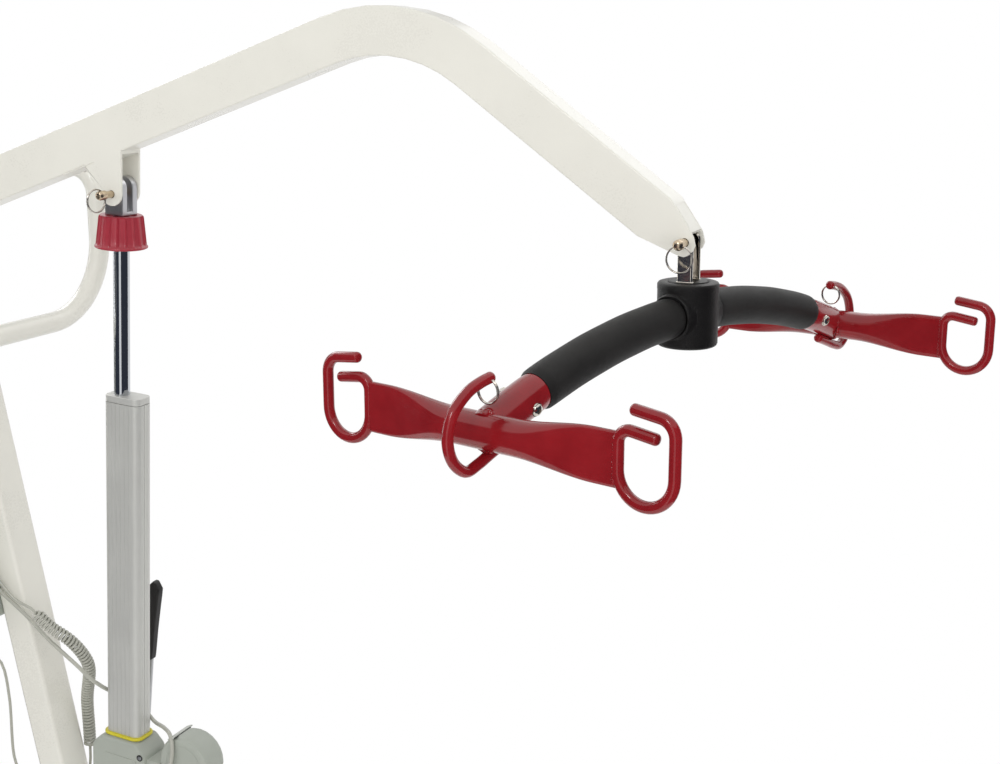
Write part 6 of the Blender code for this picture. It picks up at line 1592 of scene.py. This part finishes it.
@dataclass
class Cords:
    """Handset cord with its coil, and the motor's lead in two stretches."""

    turns: int = 50
    turn_points: int = 14
    curl_radius: float = 0.0076
    curl_in: float = 0.8
    handset_outlet: Spot = (-0.041, 0.5544)
    motor_outlet: Spot = (-0.036, 0.5779)
    outlet_front: float = -0.0213
    outlet_gap: float = 0.0003
    box_straight: float = 0.006
    socket_straight: float = 0.012
    coil_points: int = 400
    lead_points: int = 18
    tail_points: int = 60
    box_lead_points: int = 40
    motor_lead_points: int = 44
    socket: Point = (0.104, -0.0305, -0.8707)
    meet_gap: float = 0.0003
    shell_back: float = 0.0410
    shell_front: float = 0.0210
    shell_up: float = 0.120
    plug_end: Point = (-0.0290, 0, -0.1386)
    relief_long: float = 0.012
    relief_flange: float = 0.0030
    relief_ribs: int = 5
    rib_deep: float = 0.0006
    rib_wall: Spot = (0.0005, 0.0025)
    rib_tip: float = 0.004

    def build(self) -> None:
        """Lay both cords with their strain reliefs and the handset's plug."""
        start, coil, plug = self.outlet(self.handset_outlet), self.coil(), self.plug_spot()
        first, last = (coil[1] - coil[0]).normalized(), (coil[-1] - coil[-2]).normalized()
        lead = self.held(start, MAST_FRONT, LEAD_ROUTE, coil[0], first, self.box_straight, self.lead_points)
        tail = self.held(coil[-1], last, TAIL_ROUTE, plug, Vector((0, 0, 1)), self.box_straight,
                         self.tail_points)
        cord, length = self.curve("handset_cord", lead[:-1] + coil + tail[1:], CORD_RADIUS, "frame",
                                  ("handset_lead", "handset_coil", "handset_tail"))
        plug_piece = refined("handset_plug", CORD_GREY)
        relief = self.relief("handset_cord_relief", start, MAST_FRONT, CORD_RADIUS, "frame")
        start, meet = self.outlet(self.motor_outlet), HUB + Vector(LEAD_MEET)
        route = self.held(start, MAST_FRONT, BOX_LEAD_ROUTE, meet, LEAD_WAY, self.box_straight,
                          self.box_lead_points)
        relief = self.relief("motor_cord_relief", start, MAST_FRONT, MOTOR_LEAD_RADIUS, "frame")
        self.motor_stretch("motor_cord_from_box", route, "frame", "actuator_lead")
        meet, socket = meet + Vector((0, self.meet_gap, 0)), ACTUATOR @ Vector(self.socket)
        route = self.held(meet, LEAD_WAY, MOTOR_LEAD_ROUTE, socket, ROD_DOWN, self.socket_straight,
                          self.motor_lead_points)
        relief = self.relief("socket_relief", socket, -ROD_DOWN, MOTOR_LEAD_RADIUS, "actuator_body")
        self.motor_stretch("motor_cord_to_socket", route, "actuator_body", "motor_lead")

    def outlet(self, spot: Spot) -> Vector:
        """Where a cord leaves the control box.

        Args:
            spot: how far it is to the side, and down from the boom's pivot along the mast.

        Returns:
            The place.
        """
        side, drop = spot
        front = MAST_FRONT * (self.outlet_front + self.outlet_gap)
        return BOOM_PIVOT - MAST_UP * drop + front + Vector((0, side, 0))

    def plug_spot(self) -> Vector:
        """Where the handset's cord goes into its plug.

        Returns:
            The place, worked out from the handset's box.
        """
        low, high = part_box("handset")
        middle = (low.x + self.shell_back + high.x - self.shell_front) / 2
        return Vector((middle, (low.y + high.y) / 2, low.z + self.shell_up)) + Vector(self.plug_end)

    def held(self, start: Vector, out: Vector, middle: Sequence[Point], end: Vector, into: Vector,
             straight: float, count: int) -> List[Vector]:
        """Smooth route whose two ends run straight.

        Args:
            start, out: where it starts, and its direction there.
            middle: the points between, from the hub.
            end, into: where it ends, and its direction there.
            straight: length of each straight end.
            count: how many points it has.

        Returns:
            The route.
        """
        knots = [start + out * straight] + [HUB + Vector(p) for p in middle] + [end - into * straight]
        return [start] + smooth_route(knots, count - 2, start, end) + [end]

    def coil(self) -> List[Vector]:
        """One unbroken helix about the coil's route, drawn in to the centre at both ends.

        Returns:
            Its points, from the lead's end to the tail's.
        """
        route = smooth_route([HUB + Vector(p) for p in COIL_ROUTE], self.coil_points)
        lengths = run_lengths(route)
        straight, count = CORD_RADIUS * 2, self.turns * self.turn_points
        side = (route[1] - route[0]).orthogonal().normalized()
        points = [route[0]]
        for k in range(count + 1):
            run = straight + (lengths[-1] - straight * 2) * k / count
            spot = min(max(int(np.searchsorted(lengths, run)) - 1, 0), len(route) - 2)
            ahead = (route[spot + 1] - route[spot]).normalized()
            centre = route[spot] + ahead * (run - lengths[spot])
            side = (side - ahead * side.dot(ahead)).normalized()
            turn = self.turns * k / count
            reach = self.curl_radius * min(1.0, turn / self.curl_in, (self.turns - turn) / self.curl_in)
            a = 2 * math.pi * turn
            points.append(centre + side * (reach * math.cos(a)) + ahead.cross(side) * (reach * math.sin(a)))
        return points + [route[-1]]

    def curve(self, name: str, points: Sequence[Vector], radius: float, body: str,
              stands_for: Sequence[str]) -> Tuple[Piece, float]:
        """Cord as one open curve.

        Args:
            name: what it is called.
            points: its centreline.
            radius: half its diameter.
            body: the body that it rides on.
            stands_for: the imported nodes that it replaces.

        Returns:
            The cord and its length.
        """
        data = bpy.data.curves.new(name, 'CURVE')
        data.dimensions = '3D'
        data.bevel_depth = radius
        data.bevel_resolution = 4
        data.use_fill_caps = True
        spline = data.splines.new('POLY')
        spline.points.add(len(points) - 1)
        for spot, point in zip(spline.points, points):
            spot.co = (*point, 1.0)
        spline.use_smooth = True
        cord = added(name, data)
        data.materials.append(CORD_GREY.material())
        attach(cord, body)
        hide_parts(*stands_for)
        length = run_lengths(points)[-1]
        LOG.info("%s: %.3f m of cord on %s", name, length, body)
        return cord, length

    def motor_stretch(self, name: str, route: Sequence[Vector], body: str, node: str) -> None:
        """Lay one stretch of the motor's lead.

        Args:
            name: what it is called.
            route: its centreline.
            body: the body that it rides on.
            node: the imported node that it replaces.
        """
        cord, length = self.curve(name, route, MOTOR_LEAD_RADIUS, body, (node,))

    def relief(self, name: str, spot: Vector, ahead: Vector, cord: float, body: str) -> Piece:
        """Tapered, ribbed strain relief where a cord leaves a housing.

        Args:
            name: what it is called.
            spot, ahead: where it starts, and its direction.
            cord: the cord's radius.
            body: the body that it rides on.

        Returns:
            The relief.
        """
        bore, flange, long = cord * 0.9, cord + self.relief_flange, self.relief_long
        profile = [(bore, 0.0), (flange, 0.0), (flange, 0.0022)]
        thin, taper = self.rib_wall
        for share in (k / self.relief_ribs for k in range(self.relief_ribs)):
            reach = cord + taper * (1 - share) + thin
            low = self.relief_flange + (long - self.rib_tip) * share
            profile += [(reach - self.rib_deep, low), (reach, low + 0.0006), (reach, low + 0.0014),
                        (reach - self.rib_deep, low + 0.0020)]
        piece = lathe(profile + [(cord + 0.0003, long), (bore, long)], 32)
        piece.data.transform(ahead.to_track_quat('Z', 'Y').to_matrix().to_4x4())
        return dress(piece, name, body, CORD_GREY, Matrix.Translation(spot), angle=50.0)


# Mast, push handle and box

@dataclass
class MastGroup:
    """Mast, push handle, control box, battery, stop button and handset."""

    handle_radius: float = 0.0165
    handle_drop: float = 0.2025
    handle_half: float = 0.316
    handle_rise: float = 0.240
    handle_back: float = 0.165
    handle_bend: float = 0.125
    handle_top_bend: float = 0.045
    grip_short: float = 0.0146
    grip_radius: float = 0.0219
    grooves: int = 11
    groove_start: float = 0.0150
    groove_step: float = 0.0070
    groove_deep: float = 0.0009

    def build(self) -> None:
        """Make every piece that the mast carries."""
        refined("mast", OFF_WHITE, angle=TUBE_ANGLE, smooth=TUBE_ANGLE)
        self.push_handle()
        for side in ("left", "right"):
            self.handle_grip(side)
            refined(f"lower_bolt_{side}", ZINC, 0.0007)
        refined("control_box", HOUSING_GREY, 0.0010)
        refined("battery", HOUSING_GREY, 0.0010)
        refined("emergency_stop", STOP_RED, 0.0010, 3, angle=30.0)
        refined("handset", HANDSET_GREY)
        for word in ("up", "down"):
            refined(f"handset_{word}_button", LID_GREY, 0.0005)

    def handle_grip(self, side: str) -> None:
        """Moulded grip with a round end and a row of shallow grooves.

        Args:
            side: left or right.
        """
        low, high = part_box(f"handle_grip_{side}")
        long, r, bore = high.x - low.x - self.grip_short, self.grip_radius, self.handle_radius + 0.0002
        profile = [(0.0, 0.0), (r - 0.0050, 0.0), (r - 0.0016, 0.0012), (r, 0.0042)]
        for run in (self.groove_start + k * self.groove_step for k in range(self.grooves)):
            profile += [(r, run), (r - self.groove_deep, run + 0.0008), (r - self.groove_deep, run + 0.0020),
                        (r, run + 0.0028)]
        profile += [(r, long - 0.0030), (r - 0.0012, long - 0.0008), (r - 0.0030, long), (bore, long),
                    (bore, 0.0034), (0.0, 0.0034)]
        spot = (low.x, (low.y + high.y) / 2, (low.z + high.z) / 2)
        dress(turned_to(lathe(profile, 56), 'X', spot), f"handle_grip_{side}_finished", "frame", GRIP_BLACK,
              None, (f"handle_grip_{side}",), angle=40.0)

    def push_handle(self) -> None:
        """Bent tube through the mast, as one smooth bar."""
        spot = BOOM_PIVOT - MAST_UP * (self.handle_drop / MAST_UP.z)
        out, up = self.handle_half, self.handle_rise
        half = [(-self.handle_back, out, up), (0, out, up), (0, out, 0), (0, 0, 0)]
        left = filleted(half[:3], self.handle_top_bend, 12)[:-1]
        left += filleted(half[1:], self.handle_bend, 20)[1:]
        right = [Vector((p.x, -p.y, p.z)) for p in reversed(left[:-1])]
        handle = rod(left + right, self.handle_radius, 40)
        dress(handle, "push_handle_finished", "frame", OFF_WHITE, Matrix.Translation(spot), ("push_handle",),
              angle=60.0, weighted=False)


# Base, legs, casters and lever

@dataclass
class BaseGroup:
    """Base frame, spreading legs, casters and the lever."""

    front_radius: float = 0.0375
    rear_radius: float = 0.050
    wheel_wide: float = 0.024
    tread_root: float = 0.78
    tread_wide: float = 0.92
    tread_round: float = 0.009
    lever_lean: float = math.radians(7.3)
    grip_half: float = 0.0072

    def build(self) -> None:
        """Make every piece of the base."""
        refined("base_frame", OFF_WHITE, 0.0010, angle=TUBE_ANGLE, smooth=TUBE_ANGLE)
        for side in ("left", "right"):
            refined(f"leg_{side}", OFF_WHITE, 0.0012, 3, angle=TUBE_ANGLE, smooth=TUBE_ANGLE)
            refined(f"leg_bolt_{side}", ZINC)
            refined(f"brake_pedal_{side}", GRIP_BLACK, 0.0006)
            for end, radius in (("front", self.front_radius), ("rear", self.rear_radius)):
                refined(f"caster_fork_{end}_{side}", CASTER_GREY, 0.0005)
                self.wheel(end, side, radius)
        refined("leg_lever", ZINC, 0.0006)
        self.lever_grip()

    def wheel(self, end: str, side: str, radius: float) -> None:
        """Wheel with a rounded tread on a dished nylon centre.

        Args:
            end, side: front or rear, and left or right.
            radius: the tread's radius.
        """
        low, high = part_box(f"wheel_{end}_{side}")
        place, body = Matrix.Translation((low + high) / 2), f"{side}_{end}_wheel"
        half, root, bend = self.wheel_wide / 2, radius * self.tread_root, self.tread_round
        edge = half * self.tread_wide
        turns = [math.radians(a) for a in range(-80, 81, 10)]
        tread = [(radius - bend + bend * math.cos(a), edge * math.sin(a)) for a in turns]
        tread = [(root, -edge)] + tread + [(root, edge)]
        dress(turned_to(lathe(tread, 72), 'Y'), f"tread_{end}_{side}", body, TREAD_GREY, place,
              (f"wheel_{end}_{side}",), angle=50.0)
        web = [(0.0046, -half), (0.0110, -half), (0.0122, -half + 0.0012), (0.0126, -half * 0.45),
               (radius * 0.66, -half * 0.42), (radius * 0.70, -half * 0.86), (radius * 0.795, -half * 0.86)]
        web += [(r, -h) for r, h in reversed(web)]
        dress(turned_to(lathe(web, 72), 'Y'), f"wheel_centre_{end}_{side}", body, CASTER_GREY, place)

    def lever_grip(self) -> None:
        """Flattened grip that widens towards its chamfered top."""
        front = [(0.0054, 0.510), (0.0062, 0.524), (0.0074, 0.560), (0.0098, 0.600), (0.0114, 0.622),
                 (0.0118, 0.6325)]
        back = [(-a * 0.94, b) for a, b in reversed(front)]
        back[0] = (back[0][0], back[0][1] - 0.001)
        shape = front + [(0.0034, 0.6440), (-0.0010, 0.6436)] + back
        grip = eased(prism(shape, 'XZ', -self.grip_half, self.grip_half), 0.0030, 3, angle=50.0)
        dress(grip, "leg_lever_grip_finished", "spreading_lever", GRIP_BLACK,
              placed(LEVER_PIVOT, self.lever_lean), ("leg_lever_grip",), angle=40.0)


# Studio

@dataclass
class Studio:
    """Camera, floor, sky and lamps, and the glowing cards that only reflections see, which paint highlights
    and dark reflections.
    """

    lens: float = 52.33
    sensor: float = 36.0
    clip: Spot = (0.05, 100.0)
    swing: float = 0.424
    pitch: float = 0.230
    from_hub: Point = (0.490, -1.620, 0.310)
    white: Colour = (1.0, 1.0, 1.0)
    floor_colour: Colour = (0.86, 0.86, 0.855)
    floor_rough: float = 0.7
    floor_radius: float = 30.0
    floor_drop: float = 0.0005
    floor_squeeze: Point = (1.0, 1.25, 1.0)
    floor_fade: Spot = (0.75, 1.25)
    sky_light: float = 0.65
    # Painted dark reflection: the colour that glossy parts see in the dark cards, which light nothing and
    # cast no shadow.
    dark_reflection_colour: Colour = (0.040, 0.046, 0.062)
    dark_reflection_rows: Tuple[Spot, ...] = ((1.3, 0.004), (4.6, 0.004), (4.6, 4.2))
    # Glow of the white strips and card that only reflections see: painted highlights, as they light nothing.
    highlight_glow: float = 6.0
    strip_reach: Spot = (3.9, 3.7)
    # Pale glow that reflections see in the back card: a painted reflection, lighting nothing.
    back_reflection_colour: Colour = (0.62, 0.62, 0.61)
    card_steps: int = 24

    def build(self) -> None:
        """Set up the whole studio."""
        self.camera()
        self.floor()
        self.sky()
        self.lamp("key", (0.5, -3.0, 2.5), HUB + Vector((-0.3, 0, -0.1)), size=2.0, power=25.0)
        self.lamp("fill", (-2.8, -2.4, 2.2), Vector((-0.4, 0, 0.9)), size=2.6, power=19.0)
        self.lamp("side", (2.9, -1.7, 1.5), Vector((-0.3, 0, 1.1)), size=2.0, power=22.0)
        self.lamp("back", (0.4, 3.0, 3.2), HUB + Vector((-0.4, 0, 0)), size=2.4, power=21.0, mirrored=True)
        # Dark cards that only reflections see: painted dark reflections on the glossy and metal parts.
        for name, start, end in (("front_dark_reflection", -65.0, 46.0), ("side_dark_reflection", -195.0, -92.0)):
            self.card(name, start, end, self.dark_reflection_rows, self.dark_reflection_colour, 1.0)
        # Glowing strips and card that only reflections see: painted highlights on the red tubes, hooks, pins
        # and chrome.
        for name, start, end, low, high in (("rim_highlight_strip", 138.0, 166.0, 2.6, 4.4),
                                            ("side_highlight_strip", 181.0, 187.0, 0.6, 3.4)):
            rows = tuple(zip(self.strip_reach, (low, high)))
            self.card(name, start, end, rows, self.white, self.highlight_glow)
        self.card("key_highlight_card", -90.0, -78.0, ((3.1, 3.1), (2.7, 3.8)), self.white, self.highlight_glow * 2)
        # Pale card that only reflections see: a painted reflection on upward-facing gloss.
        self.card("back_reflection_card", 55.0, 112.0, ((4.4, 1.9), (4.2, 4.8)), self.back_reflection_colour, 1.0)
        bpy.context.scene.view_settings.view_transform = 'Standard'

    def camera(self) -> None:
        """Camera at the photograph's angle."""
        data = bpy.data.cameras.new("camera")
        data.sensor_width, data.lens = self.sensor, self.lens
        data.clip_start, data.clip_end = self.clip
        camera = added("camera", data)
        ahead = Vector((-math.sin(self.swing) * math.cos(self.pitch),
                        math.cos(self.swing) * math.cos(self.pitch), -math.sin(self.pitch)))
        camera.location = HUB + Vector(self.from_hub)
        camera.rotation_mode = 'QUATERNION'
        camera.rotation_quaternion = ahead.to_track_quat('-Z', 'Y')
        bpy.context.scene.camera = camera

    def floor(self) -> None:
        """Round pale floor that turns plain white away from the lift, and still takes its shadow."""
        fresh()
        bpy.ops.mesh.primitive_circle_add(vertices=96, radius=self.floor_radius, fill_type='NGON',
                                          location=(0, 0, -self.floor_drop))
        floor = bpy.context.object
        floor.name = "studio_floor"
        made = bpy.data.materials.new("studio_floor")
        nodes = Tree(made)
        shader = nodes.tree.nodes["Principled BSDF"]
        shader.inputs["Base Color"].default_value = (*self.floor_colour, 1.0)
        shader.inputs["Roughness"].default_value = self.floor_rough
        squeeze = nodes.node("ShaderNodeMapping", Scale=self.floor_squeeze)
        length = nodes.node("ShaderNodeVectorMath", operation='LENGTH')
        nodes.join(nodes.node("ShaderNodeTexCoord").outputs["Object"], squeeze.inputs["Vector"])
        nodes.join(squeeze.outputs["Vector"], length.inputs[0])
        away = nodes.scaled(length.outputs["Value"], *self.floor_fade, 0.0, 1.0)
        glow = nodes.node("ShaderNodeEmission", Color=(*self.white, 1.0))
        mix = nodes.node("ShaderNodeMixShader")
        nodes.join(nodes.maths('MULTIPLY', nodes.looked_at(), away), mix.inputs[0])
        nodes.join(shader.outputs[0], mix.inputs[1])
        nodes.join(glow.outputs[0], mix.inputs[2])
        nodes.join(mix.outputs[0], nodes.tree.nodes["Material Output"].inputs["Surface"])
        floor.data.materials.append(made)

    def sky(self) -> None:
        """World that looks white and lights the lift softly."""
        world = bpy.data.worlds.new("studio")
        bpy.context.scene.world = world
        nodes = Tree(world)
        back = nodes.tree.nodes["Background"]
        back.inputs["Color"].default_value = (*self.white, 1.0)
        strength = nodes.scaled(nodes.looked_at(), 0.0, 1.0, self.sky_light, 1.0)
        nodes.join(strength, back.inputs["Strength"])

    def card(self, name: str, start: float, end: float, rows: Sequence[Spot], colour: Colour,
             strength: float) -> None:
        """Curved glowing card that only reflections see: bright ones are painted highlights and painted
        reflections, dark ones painted dark reflections.

        Args:
            name: what it is called.
            start, end: where it runs round the lift, in degrees from the front.
            rows: radius and height of each of its rows.
            colour, strength: the painted light that reflections see in it.
        """
        steps = self.card_steps
        turns = [math.radians(start + (end - start) * k / steps) for k in range(steps + 1)]
        spots = [(reach * math.cos(a), reach * math.sin(a), z) for reach, z in rows for a in turns]
        corners = [row * (steps + 1) + k for row in range(len(rows) - 1) for k in range(steps)]
        mesh = bpy.data.meshes.new(name)
        mesh.from_pydata(spots, [], [(c, c + 1, c + steps + 2, c + steps + 1) for c in corners])
        card = added(name, mesh)
        made = bpy.data.materials.new(name)
        nodes = Tree(made)
        # The card glows though it is no lamp, and every ray but a reflection passes it by.
        glow = nodes.node("ShaderNodeEmission", Color=(*colour, 1.0), Strength=strength)
        nodes.join(glow.outputs[0], nodes.tree.nodes["Material Output"].inputs["Surface"])
        mesh.materials.append(made)
        for ray in ("camera", "diffuse", "transmission", "volume_scatter", "shadow"):
            setattr(card, "visible_" + ray, False)

    def lamp(self, name: str, spot: Point, aim: Vector, size: float, power: float,
             mirrored: bool = False) -> None:
        """Square area lamp aimed at a point.

        Args:
            name: what it is called.
            spot, aim: where it stands and what it is aimed at.
            size, power: its side and its watts.
            mirrored: whether reflections show it.
        """
        data = bpy.data.lights.new(name, 'AREA')
        data.size = size
        data.energy = power
        lamp = added(name, data)
        lamp.location = spot
        lamp.rotation_mode = 'QUATERNION'
        lamp.rotation_quaternion = (aim - Vector(spot)).to_track_quat('-Z', 'Y')
        lamp.visible_glossy = mirrored


def main() -> None:
    """Build the studio and every sub-assembly."""
    for group in (Studio(), Cords(), HoistArm(), SpreaderBar(), Actuator(), MastGroup(), BaseGroup()):
        LOG.info("building %s", type(group).__name__)
        group.build()
    fresh()


if __name__ == "__main__":
    main()
